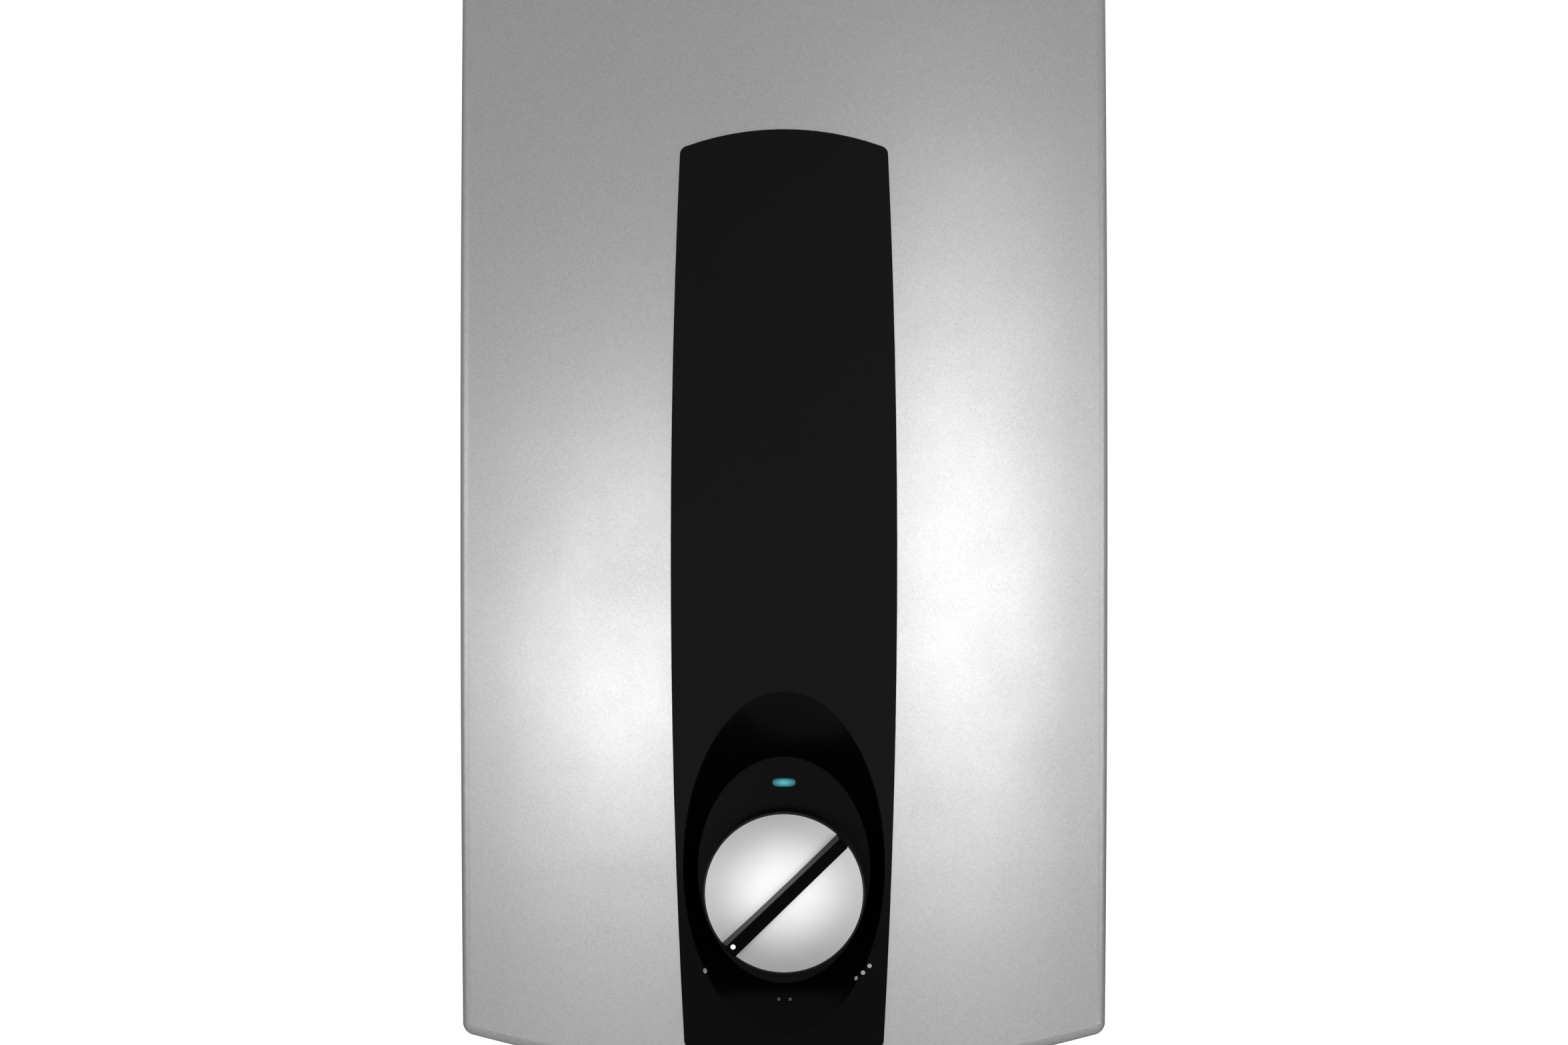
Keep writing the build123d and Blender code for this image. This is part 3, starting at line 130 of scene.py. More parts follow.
class Coat(Nodes):
    """A material in the making.

    Attributes:
        made: The material.
        shader: Its Principled shader.
        place: Object coordinates, in metres.
        colour: Its colour so far, which patterns change.
    """

    def __init__(self, name: str, values: dict[str, float]) -> None:
        """Start a material with its shader.

        Args:
            name: Name of the material.
            values: Values of the shader's inputs.
        """
        self.made = bpy.data.materials.new(name)
        self.made.use_nodes = True
        super().__init__(self.made.node_tree)
        self.shader = self.add("BsdfPrincipled", values)
        self.add("OutputMaterial", {"Surface": self.shader})
        self.place = self.add("TexCoord").outputs["Object"]
        self.colour: Optional[NodeSocket] = None

    def feed(self, name: str, source: NodeSocket) -> None:
        """Link a source to the shader's input of that name."""
        self.tree.links.new(source, self.shader.inputs[name])

    def reach(self, centre: Pair, stretch: Pair = (1.0, 1.0)) -> NodeSocket:
        """Measure the distance from an axis that points to the front.

        Args:
            centre: X and Z of the axis.
            stretch: How many times the distance counts along X and Z.

        Returns:
            The distance, in metres.
        """
        off = [-times * at * MM for times, at in zip(stretch, centre)]
        flat = self.add("VectorMath", {
            0: self.place, 1: (stretch[0], 0.0, stretch[1]), 2: (off[0], 0.0, off[1])},
            operation="MULTIPLY_ADD")
        return self.add("VectorMath", {0: flat}, operation="LENGTH").outputs["Value"]


@dataclass(frozen=True)
class Finish:
    """A surface finish, from its colours, its gloss and the size of its grain."""

    name: str  # Common name of the material and how its surface was made.
    colour: str  # Main colour, sRGB hex.
    shade: str  # Colour that the mottling runs to, sRGB hex.
    rough: Pair  # Lowest and highest roughness.
    mottle: float = 12.0  # Size of the mottling.
    grain: float = 0.5  # Size of the surface grain.
    depth: float = 0.004  # Height of the grain.
    metallic: float = 0.0  # Share of bare metal.
    specular: float = 0.5  # Gloss level of the surface, 0.5 for common plastic.
    run: Triple = (1.0, 1.0, 1.0)  # How many times longer the grain is along X, Y and Z.
    on: tuple[str, ...] = ()  # CAD nodes that take the finish.

    def material(self) -> Material:
        """Build the material once and give it to every piece that asks.

        Returns:
            The material of this finish.
        """
        found = bpy.data.materials.get(self.name)
        if found:
            return found
        coat = Coat(self.name, {"Metallic": self.metallic, "Specular IOR Level": self.specular})
        self.dress(coat)
        return coat.made

    def dress(self, coat: Coat) -> None:
        """Link mottled colour, uneven gloss and grain to the shader.

        Args:
            coat: The material in the making.
        """
        drawn = coat.add("Mapping", {"Vector": coat.place, "Scale": self.run}, vector_type="TEXTURE")
        cloud = coat.add("TexNoise", {
            "Vector": drawn, "Scale": 1 / (self.mottle * MM), "Detail": 4.0, "Roughness": 0.6})
        spread = coat.add("MapRange", {
            "Value": cloud, "From Min": COLOUR_RUN[0], "From Max": COLOUR_RUN[1]})
        mix = coat.add("Mix", {
            0: spread, 6: linear(self.colour), 7: linear(self.shade)}, data_type="RGBA")
        gloss = coat.add("MapRange", {
            "Value": cloud, "From Min": GLOSS_RUN[0], "From Max": GLOSS_RUN[1],
            "To Min": self.rough[0], "To Max": self.rough[1]})
        grit = coat.add("TexNoise", {"Vector": drawn, "Scale": 1 / (self.grain * MM), "Detail": 2.0})
        bump = coat.add("Bump", {"Height": grit, "Strength": 1.0, "Distance": self.depth * MM})
        coat.colour = mix.outputs[2]
        self.pattern(coat)
        coat.feed("Base Color", coat.colour)
        coat.feed("Roughness", gloss.outputs[0])
        coat.feed("Normal", bump.outputs[0])

    def pattern(self, coat: Coat) -> None:
        """Leave the mottled colour as it is, because a plain finish has no pattern over it."""


@dataclass(frozen=True)
class FlakePaint(Finish):
    """Metallic paint: tiny bright flakes under a soft skin with a trace of orange peel."""

    flake: float = 0.35  # Size of a flake, drawn coarser than the real ones so that they show.
    sparkle: str = "FFFFFF"  # Colour of the brightest flakes, sRGB hex.
    share: float = 0.05  # How far the brightest flakes go to that colour.
    flop: str = "909090"  # Tint of the paint where it slants away, sRGB hex.

    def pattern(self, coat: Coat) -> None:
        """Scatter the flakes, and darken the paint at a slant.

        Args:
            coat: The material in the making.
        """
        coat.shader.inputs["Specular Tint"].default_value = linear(self.flop)
        cells = coat.add("TexVoronoi", {"Vector": coat.place, "Scale": 1 / (self.flake * MM)})
        parts = coat.add("SeparateColor", {0: cells.outputs["Color"]})
        glint = coat.add("MapRange", {"Value": parts, "To Max": self.share})
        mix = coat.add("Mix", {0: glint, 6: coat.colour, 7: linear(self.sparkle)}, data_type="RGBA")
        coat.colour = mix.outputs[2]


@dataclass(frozen=True)
class SpunMetal(Finish):
    """Satin metal turned on a lathe: faint rings round a centre, and painted shade that greys it towards the
    rim.
    """

    centre: Pair = (0.0, -122.3)  # X and Z of the centre.
    radius: float = 24.2  # Radius of the rim.
    ring: float = 0.45  # Size of the rings.
    groove: str = "5A5B5D"  # Colour of the rings, sRGB hex.
    trace: float = 0.06  # How far the rings go to that colour.
    rim: str = "6A6A6A"  # Colour of the painted shade that the metal runs to at the rim, sRGB hex.
    bright: float = 0.15  # Share of the radius that stays bright, before the painted shade begins.
    grey: float = 0.85  # How far the painted shade at the rim goes to its colour.

    def pattern(self, coat: Coat) -> None:
        """Draw the turning rings and the painted shade that greys the rim.

        Args:
            coat: The material in the making.
        """
        reach = coat.reach(self.centre)
        turns = coat.add("Math", {0: reach, 1: 1 / (self.ring * MM)}, operation="MULTIPLY")
        lines = coat.add("TexNoise", {"W": turns, "Scale": 1.0, "Detail": 3.0}, noise_dimensions="1D")
        faint = coat.add("MapRange", {
            "Value": lines, "From Min": GLOSS_RUN[0], "From Max": GLOSS_RUN[1], "To Max": self.trace})
        ringed = coat.add("Mix", {0: faint, 6: coat.colour, 7: linear(self.groove)}, data_type="RGBA")
        # Painted shade: the colour greys from the middle to the rim, where the domed cap's light falls off.
        rim_shade_mask = coat.add("MapRange", {
            "Value": reach, "From Min": self.bright * self.radius * MM, "From Max": self.radius * MM,
            "To Max": self.grey}, interpolation_type="SMOOTHSTEP")
        mix = coat.add("Mix", {
            0: rim_shade_mask, 6: ringed.outputs[2], 7: linear(self.rim)}, data_type="RGBA")
        coat.colour = mix.outputs[2]


@dataclass(frozen=True)
class BowledPanel(Finish):
    """Black moulding, finely textured, but smooth in its bowl and below it, where painted shade also darkens
    it to a deeper black.
    """

    middle: float = -113.4  # Height of the bowl's middle.
    half: Pair = (31.0, 53.3)  # Half the width and half the height of the bowl's rim.
    fade: float = 15.0  # Height over which the smooth part widens to the whole panel.
    edge: float = 0.97  # Share of the rim's reach at which the texture begins.
    smooth: float = 0.22  # Roughness of the smooth part.
    painted_shade: str = "020202"  # Colour of the painted shade over the smooth part, sRGB hex.

    def dress(self, coat: Coat) -> None:
        """Smooth the plain finish inside the bowl's elliptical rim and everywhere below its middle, and paint
        shade there as a darker colour.

        Args:
            coat: The material in the making.
        """
        super().dress(coat)
        across, _, height = coat.add("SeparateXYZ", {0: coat.place}).outputs
        rise = coat.add("MapRange", {
            "Value": height, "From Min": self.middle * MM, "From Max": (self.middle + self.half[1]) * MM})
        beside = coat.add("MapRange", {
            "Value": height, "From Min": (self.middle - self.fade) * MM, "From Max": self.middle * MM})
        share = coat.add("Math", {0: across, 1: 1 / (self.half[0] * MM)}, operation="MULTIPLY")
        square = coat.add("Math", {0: share, 1: 2.0}, operation="POWER")
        wide = coat.add("Math", {0: square, 1: beside}, operation="MULTIPLY")
        reach = coat.add("Math", {0: rise, 1: rise, 2: wide}, operation="MULTIPLY_ADD")
        sunk = coat.add("MapRange", {
            "Value": reach, "From Min": self.edge, "To Min": 1.0, "To Max": 0.0})
        gloss = coat.shader.inputs["Roughness"].links[0].from_socket
        # Painted shade: the smooth part also takes a darker colour, for the shade in the bowl and on the
        # lower panel.
        painted_shade = coat.add("Mix", {0: sunk, 6: coat.colour, 7: linear(self.painted_shade)}, data_type="RGBA")
        even = coat.add("Mix", {0: sunk, 2: gloss, 3: self.smooth})
        coat.feed("Base Color", painted_shade.outputs[2])
        coat.feed("Roughness", even.outputs[0])


@dataclass(frozen=True)
class GlowLens(Finish):
    """Clear light pipe lit from behind: a pale core that runs out to a deeper colour at its ends."""

    centre: Pair = (0.0, -89.2)  # X and Z of the core.
    half: float = 3.5  # Half the length of the lens.
    fade: Pair = (0.1, 0.9)  # Shares of that length at which the core ends and the edge begins.
    squash: Pair = (0.75, 2.2)  # How many times the distance from the core counts along X and Z.
    core: str = "6AD2DC"  # Colour of the core, sRGB hex.
    edge: str = "062A32"  # Colour of the edge, sRGB hex.
    power: float = 0.7  # Strength of the light.

    def pattern(self, coat: Coat) -> None:
        """Light the lens from its middle outwards.

        Args:
            coat: The material in the making.
        """
        fade = coat.add("MapRange", {
            "Value": coat.reach(self.centre, self.squash), "From Min": self.fade[0] * self.half * MM,
            "From Max": self.fade[1] * self.half * MM})
        glow = coat.add("Mix", {0: fade, 6: linear(self.core), 7: linear(self.edge)}, data_type="RGBA")
        coat.feed("Emission Color", glow.outputs[2])
        coat.shader.inputs["Emission Strength"].default_value = self.power


@dataclass(frozen=True)
class SolderMask(Finish):
    """Green solder mask on a laminate: paler copper tracks under it, in runs along the board."""

    track: str = "2F8A4C"  # Colour of the mask over a track, sRGB hex.
    pitch: float = 5.2  # Distance between tracks.
    width: float = 0.12  # Width of a track as a share of the pitch.
    long: Pair = (9.0, 5.0)  # Length of the level and of the upright runs, in pitches.
    patch: float = 26.0  # Size of the areas that have runs one way.

    def pattern(self, coat: Coat) -> None:
        """Draw the tracks as two sets of runs, one level and one upright.

        Args:
            coat: The material in the making.
        """
        lay = coat.add("Mapping", {
            "Vector": coat.place, "Rotation": (math.radians(-90), 0.0, 0.0)})
        quarter = coat.add("Mapping", {"Vector": lay, "Rotation": (0.0, 0.0, math.radians(90))})
        black, white = (0, 0, 0, 1), (1, 1, 1, 1)
        level, upright = [coat.add("TexBrick", {
            "Vector": turn, "Scale": 1 / (self.pitch * MM), "Mortar Size": self.width / 2,
            "Mortar Smooth": 0.1, "Brick Width": long, "Row Height": 1.0, "Color1": black, "Color2": black,
            "Mortar": white}).outputs["Fac"] for turn, long in zip((lay, quarter), self.long)]
        patch = coat.add("TexNoise", {
            "Vector": coat.place, "Scale": 1 / (self.patch * MM), "Detail": 0.0})
        choose = coat.add("Math", {0: patch, 1: 0.5}, operation="GREATER_THAN")
        lines = coat.add("Mix", {0: choose, 2: level, 3: upright})
        mix = coat.add("Mix", {0: lines, 6: coat.colour, 7: linear(self.track)}, data_type="RGBA")
        coat.colour = mix.outputs[2]


@dataclass(frozen=True)
class TwoTone(Finish):
    """Component made of two materials that meet at a level, such as a can's bare top or a coil's core."""

    second: str = "A6A7A8"  # Colour of the second material, sRGB hex.
    axis: int = 1  # Axis along which they meet, 0 for X to 2 for Z.
    middle: float = 0.0  # Middle of the first material along it.
    reach: float = 1.0  # How far the first material reaches from its middle.

    def pattern(self, coat: Coat) -> None:
        """Lay the second colour wherever the surface is further from the middle than the reach.

        Args:
            coat: The material in the making.
        """
        parts = coat.add("SeparateXYZ", {0: coat.place}).outputs
        off = coat.add("Math", {0: parts[self.axis], 1: self.middle * MM}, operation="SUBTRACT")
        away = coat.add("Math", {0: off}, operation="ABSOLUTE")
        beyond = coat.add("Math", {0: away, 1: self.reach * MM}, operation="GREATER_THAN")
        mix = coat.add("Mix", {0: beyond, 6: coat.colour, 7: linear(self.second)}, data_type="RGBA")
        coat.colour = mix.outputs[2]


def settle(name: str, mesh: Mesh, finish: Finish, body: str, node: Optional[str] = None) -> Object:
    """Make a finished mesh a piece that rides on a body.

    Args:
        name: Name of the piece.
        mesh: Its mesh, in its place in the frame.
        finish: Its finish, where the mesh has none yet.
        body: The body that carries it.
        node: The CAD node that it stands for, if there is one.

    Returns:
        The piece.
    """
    if not mesh.materials:
        mesh.materials.append(finish.material())
    piece = bpy.data.objects.new(name, mesh)
    bpy.context.scene.collection.objects.link(piece)
    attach(piece, body)
    if node:
        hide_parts(node)
    return piece


def opened(*meshes: Mesh) -> BMesh:
    """Open one or more meshes as one for building.

    Args:
        meshes: The meshes, which stay as they are.

    Returns:
        The mesh being built.
    """
    build = bmesh.new()
    for mesh in meshes:
        build.from_mesh(mesh)
    return build


def close_mesh(build: BMesh, name: str, smooth: bool = True) -> Mesh:
    """Merge doubles, turn faces outwards and keep a built mesh.

    Args:
        build: The mesh being built, which is freed.
        name: Name of the mesh.
        smooth: Whether its faces shade smoothly.

    Returns:
        The mesh.
    """
    bmesh.ops.remove_doubles(build, verts=build.verts, dist=MERGE)
    bmesh.ops.recalc_face_normals(build, faces=build.faces)
    for face in build.faces:
        face.smooth = smooth
    for edge in build.edges:
        if len(edge.link_faces) == 2 and edge.calc_face_angle(0.0) > CREASE:
            edge.smooth = False
    mesh = bpy.data.meshes.new(name)
    build.to_mesh(mesh)
    build.free()
    return mesh


def turned(build: BMesh, profile: list[Pair], steps: int) -> None:
    """Turn a profile round Z into a skin, closed where the profile meets the axis.

    Args:
        build: The mesh being built.
        profile: Radius and height of each point.
        steps: Faces round the turn.
    """
    verts = [build.verts.new((radius * MM, 0.0, height * MM)) for radius, height in profile]
    edges = [build.edges.new(pair) for pair in zip(verts, verts[1:])]
    bmesh.ops.spin(
        build, geom=verts + edges, axis=(0, 0, 1), cent=(0, 0, 0), angle=2 * math.pi, steps=steps)
    bmesh.ops.remove_doubles(build, verts=build.verts, dist=MERGE)


def walled(build: BMesh, one: list, two: list) -> None:
    """Raise a wall between two rings.

    Args:
        build: The mesh being built.
        one: Vertices of the first ring.
        two: Vertices of the second, as many.
    """
    for i in range(len(one)):
        j = (i + 1) % len(one)
        build.faces.new((one[i], one[j], two[j], two[i]))


def lofted(build: BMesh, rings: list[list]) -> None:
    """Skin a stack of rings and close both its ends.

    Args:
        build: The mesh being built.
        rings: Vertices of each ring, as many in every one.
    """
    for one, two in zip(rings, rings[1:]):
        walled(build, one, two)
    build.faces.new(rings[0])
    build.faces.new(rings[-1])


def modified(mesh: Mesh, kind: str, settings: dict[str, Any], inputs: Optional[dict] = None) -> Mesh:
    """Run one modifier on a mesh and keep what comes out.

    Args:
        mesh: Mesh that the modifier starts from.
        kind: Blender's name for the type of modifier.
        settings: Its properties.
        inputs: Inputs of its node tree, by identifier.

    Returns:
        The result as a plain mesh.
    """
    holder = bpy.data.objects.new(kind, mesh)
    bpy.context.scene.collection.objects.link(holder)
    step = holder.modifiers.new(kind, kind)
    for name, value in settings.items():
        setattr(step, name, value)
    for identifier, value in (inputs or {}).items():
        step[identifier] = value
    graph = bpy.context.evaluated_depsgraph_get()
    result = bpy.data.meshes.new_from_object(holder.evaluated_get(graph), depsgraph=graph)
    holder.modifiers.remove(step)
    bpy.data.objects.remove(holder)
    return result


class Grown(Nodes):
    """A Geometry Nodes tree with a named input for each size, run once and kept as a plain mesh.

    Attributes:
        values: Value of each named input.
        given: The tree's inputs.
    """

    family = "GeometryNode"
    KINDS = {int: "Int", float: "Float", list: "Vector", Material: "Material", Object: "Object"}

    def __init__(self, name: str, finish: Finish, values: dict[str, Any]) -> None:
        """Start the tree with its inputs.

        Args:
            name: Name of the tree.
            finish: Finish of what it makes.
            values: Value of each named input, lengths in metres.
        """
        super().__init__(bpy.data.node_groups.new(name, "GeometryNodeTree"))
        self.values = {**values, "Material": finish.material()}
        sockets = {"Geometry": "Geometry", **{key: self.KINDS[type(v)] for key, v in self.values.items()}}
        for key, kind in sockets.items():
            self.tree.interface.new_socket(key, in_out="INPUT", socket_type=f"NodeSocket{kind}")
        self.tree.interface.new_socket("Geometry", in_out="OUTPUT", socket_type="NodeSocketGeometry")
        self.given = self.add("NodeGroupInput").outputs

    def run(self, last: Node, seed: Mesh) -> Mesh:
        """End the tree and run it on a mesh.

        Args:
            last: The last node of the tree so far.
            seed: Mesh that the tree starts from.

        Returns:
            The plain mesh that comes out.
        """
        real = self.add("RealizeInstances", {"Geometry": last})
        coated = self.add("SetMaterial", {"Geometry": real, "Material": self.given["Material"]})
        self.add("NodeGroupOutput", {0: coated})
        inputs = {item.identifier: self.values[item.name] for item in self.tree.interface.items_tree
                  if item.in_out == "INPUT" and item.name in self.values}
        return modified(seed, "NODES", {"node_group": self.tree}, inputs)


def in_rows(seed: Mesh, count: tuple[int, int], span: Pair, centre: Triple, finish: Finish) -> Mesh:
    """Copy one piece over a grid in the plane of the casing's front.

    Args:
        seed: The piece, at the origin.
        count: Copies along X and Z.
        span: Distance between the outermost copies along X and Z.
        centre: Middle of the grid.
        finish: Finish of the copies.

    Returns:
        All the copies as one mesh.
    """
    grown = Grown("rows of copies", finish, {
        "Count X": count[0], "Count Z": count[1], "Span X": span[0] * MM, "Span Z": span[1] * MM,
        "Centre": [c * MM for c in centre]})
    given, add = grown.given, grown.add
    grid = add("MeshGrid", {
        "Size X": given["Span X"], "Size Y": given["Span Z"],
        "Vertices X": given["Count X"], "Vertices Y": given["Count Z"]})
    stood = add("Transform", {
        "Geometry": grid, "Translation": given["Centre"], "Rotation": UPRIGHT})
    laid = add("InstanceOnPoints", {"Points": stood, "Instance": given["Geometry"]})
    return grown.run(laid, seed)


@dataclass
class Assembly:
    """A sub-assembly: its sizes and finishes, and what makes its pieces and dresses them."""

    def dress(self) -> None:
        """Give each finish to the CAD nodes that it names, through their own material slots."""
        for finish in [getattr(self, each.name) for each in fields(self)]:
            for name in finish.on if isinstance(finish, Finish) else ():
                for place in NODES[name].material_slots:
                    place.material = finish.material()

    def build(self) -> Iterator[Object]:
        """Make no piece, as a sub-assembly of CAD nodes alone has none of its own."""
        yield from ()


@dataclass
class Casing(Assembly):
    """Silver cover and the grey housing behind it, which is ribbed at the back."""

    pockets: tuple[int, int] = (4, 6)  # Pockets between the ribs along X and Z.
    pitch: float = 41.5  # Distance between ribs.
    rib: float = 3.0  # Width of a rib.
    corner: float = 3.0  # Corner radius of a pocket.
    rounding: int = 5  # Points in a corner's arc.
    sunk: float = 0.8  # Depth of a pocket.
    draft: float = 0.955  # Share that the pockets narrow to over twice their depth.
    # Fine flakes glint in a soft sheen that follows the lamps and greys where the cover curves away.
    cover: Finish = FlakePaint(
        "Silver metallic paint on moulded plastic", "838383", "7F7F7F", (0.34, 0.38), mottle=60.0,
        grain=1.6, depth=0.0012, metallic=0.85, on=("front_cover",))
    # Dull and even, with the faint clouds and fine grain that a mould leaves.
    housing: Finish = Finish(
        "Grey moulded plastic", "8D8F91", "858789", (0.5, 0.6), mottle=25.0, grain=0.6, depth=0.012,
        on=("rear_housing",))

    def build(self) -> Iterator[Object]:
        """Rib a copy of the housing, which takes the place of its CAD node.

        Yields:
            The ribbed housing.
        """
        shell = close_mesh(opened(NODES["rear_housing"].data), "shell")
        ribbed = close_mesh(opened(self.carved(shell)), "ribbed_housing")
        # Large faces lead the shading, so that flat ones stay flat beside rounded edges.
        mesh = modified(ribbed, "WEIGHTED_NORMAL", {"keep_sharp": True})
        yield settle("ribbed_housing", mesh, self.housing, "base", "rear_housing")

    def carved(self, shell: Mesh) -> Mesh:
        """Cut a grid of shallow drafted pockets into the shell's back, which lies in the plane of the wall.

        Args:
            shell: Closed mesh of the shell.

        Returns:
            The shell with ribs between its pockets.
        """
        grown = Grown("pocketed back", self.housing, {
            "Columns": self.pockets[0], "Rows": self.pockets[1], "Pitch": self.pitch * MM,
            "Side": (self.pitch - self.rib) * MM, "Corner": self.corner * MM, "Depth": self.sunk * MM,
            "Draft": self.draft})
        given, add = grown.given, grown.add
        spans = []
        for name in ("Columns", "Rows"):
            gaps = add("ShaderNodeMath", {0: given[name], 1: 1.0}, operation="SUBTRACT")
            spans.append(add("ShaderNodeMath", {0: gaps, 1: given["Pitch"]}, operation="MULTIPLY"))
        grid = add("MeshGrid", {
            "Size X": spans[0], "Size Y": spans[1], "Vertices X": given["Columns"],
            "Vertices Y": given["Rows"]})
        square = add("CurvePrimitiveQuadrilateral", {
            "Width": given["Side"], "Height": given["Side"]})
        soft = add("FilletCurve", {
            "Curve": square, "Radius": given["Corner"], "Count": self.rounding}, mode="POLY")
        mouth = add("FillCurve", {"Curve": soft}, mode="NGONS")
        twice = add("ShaderNodeMath", {0: given["Depth"], 1: 2.0}, operation="MULTIPLY")
        drawn = add("ExtrudeMesh", {
            "Mesh": mouth, "Offset": (0.0, 0.0, 1.0), "Offset Scale": twice}, mode="FACES")
        drafted = add("ScaleElements", {
            "Geometry": drawn, "Selection": drawn.outputs["Top"], "Scale": given["Draft"]}, domain="FACE")
        under = add("FlipFaces", {"Mesh": mouth})
        whole = add("JoinGeometry", {0: drafted})
        grown.tree.links.new(under.outputs[0], whole.inputs[0])
        shut = add("MergeByDistance", {"Geometry": whole, "Distance": MERGE})
        laid = add("InstanceOnPoints", {"Points": grid, "Instance": shut})
        block = add("RealizeInstances", {"Geometry": laid})
        out = add("ShaderNodeCombineXYZ", {1: given["Depth"]})
        stood = add("Transform", {"Geometry": block, "Translation": out, "Rotation": UPRIGHT})
        cut = add("MeshBoolean", {
            0: given["Geometry"], 1: stood}, operation="DIFFERENCE", solver="EXACT")
        return grown.run(cut, shell)


@dataclass
class ControlPanel(Assembly):
    """Black insert with the knob's bowl, the lamp window and the printed setting marks."""

    # Marks of the lowest and highest setting as x, z and radius.
    marks: tuple[Triple, ...] = (
        (-24.2, -146.5, 0.85), (22.2, -148.9, 0.72), (24.3, -147.1, 0.72), (26.3, -145.0, 0.72))
    # Marks of the middle setting, drawn darker.
    middle_marks: tuple[Triple, ...] = ((-1.6, -156.0, 0.55), (1.9, -156.0, 0.55))
    rise: float = 0.06  # Height of the print over the panel.
    taper: float = 0.9  # Radius of a dot's top as a share of its foot's.
    around: int = 28  # Corners round a dot.
    away: float = 0.2  # Distance in front of the wall from which the dots drop, in metres.
    # A matt black field that hardly catches the lamps, and a smooth bowl and lower panel that painted shade
    # takes nearly black.
    panel: Finish = BowledPanel(
        "Black fine-textured moulding with a smooth bowl", "060606", "080808", (0.5, 0.58), mottle=30.0,
        grain=0.45, depth=0.006, specular=0.04, on=("control_panel",))
    # A small cyan glow, palest in its middle.
    lens: Finish = GlowLens(
        "Lit clear light pipe", "0A2E36", "0A2E36", (0.2, 0.25), specular=0.1, on=("light_pipe",))
    # Flat pale dots with a trace of unevenness, as ink has.
    print_ink: Finish = Finish(
        "Pale grey pad print", "7E8081", "727475", (0.5, 0.6), mottle=1.0, grain=0.2, depth=0.002)
    # A darker grey than the other marks, so that these dots stay back.
    grey_ink: Finish = Finish(
        "Mid grey pad print", "303233", "2A2C2D", (0.5, 0.6), mottle=1.0, grain=0.2, depth=0.002)

    def build(self) -> Iterator[Object]:
        """Print the marks.

        Yields:
            The marks of the outer settings and those of the middle one.
        """
        dots = self.dots(self.marks, self.print_ink)
        yield settle("setting_marks", dots, self.print_ink, "cover")
        dots = self.dots(self.middle_marks, self.grey_ink)
        yield settle("middle_marks", dots, self.grey_ink, "cover")

    def dots(self, places: tuple[Triple, ...], ink: Finish) -> Mesh:
        """Drop round dots from the front onto the panel and turn each flat to the face there.

        Args:
            places: X, Z and radius of each dot.
            ink: Finish of the print.

        Returns:
            The dots as one mesh.
        """
        seed = bpy.data.meshes.new("dots")
        seed.from_pydata([(x * MM, -self.away, z * MM) for x, z, _ in places], [], [])
        radii = seed.attributes.new("radius", "FLOAT", "POINT")
        radii.data.foreach_set("value", [radius * MM for _, _, radius in places])
        grown = Grown("printed dots", ink, {"Ground": NODES["control_panel"], "Rise": self.rise * MM})
        given, add = grown.given, grown.add
        ground = add("ObjectInfo", {"Object": given["Ground"]})
        drop = add("Raycast", {
            "Target Geometry": ground.outputs["Geometry"], "Ray Direction": (0.0, 1.0, 0.0),
            "Ray Length": 1.0})
        leaning = add("StoreNamedAttribute", {
            "Geometry": given["Geometry"], "Name": "lean", "Value": drop.outputs["Hit Normal"],
        }, data_type="FLOAT_VECTOR")
        dropped = add("SetPosition", {"Geometry": leaning, "Position": drop.outputs["Hit Position"]})
        lean = add("InputNamedAttribute", {"Name": "lean"}, data_type="FLOAT_VECTOR")
        turn = add("FunctionNodeAlignRotationToVector", {"Vector": lean}, axis="Z")
        radius = add("InputNamedAttribute", {"Name": "radius"}, data_type="FLOAT")
        size = add("ShaderNodeCombineXYZ", {0: radius, 1: radius, 2: given["Rise"]})
        # One dot is 1 in radius and stands from -1, inside the panel, to 1, the height of the print.
        dot = add("MeshCone", {
            "Vertices": self.around, "Radius Top": self.taper, "Radius Bottom": 1.0, "Depth": 2.0})
        sunk = add("Transform", {"Geometry": dot, "Translation": (0.0, 0.0, -1.0)})
        laid = add("InstanceOnPoints", {
            "Points": dropped, "Instance": sunk, "Rotation": turn, "Scale": size})
        return grown.run(laid, seed)


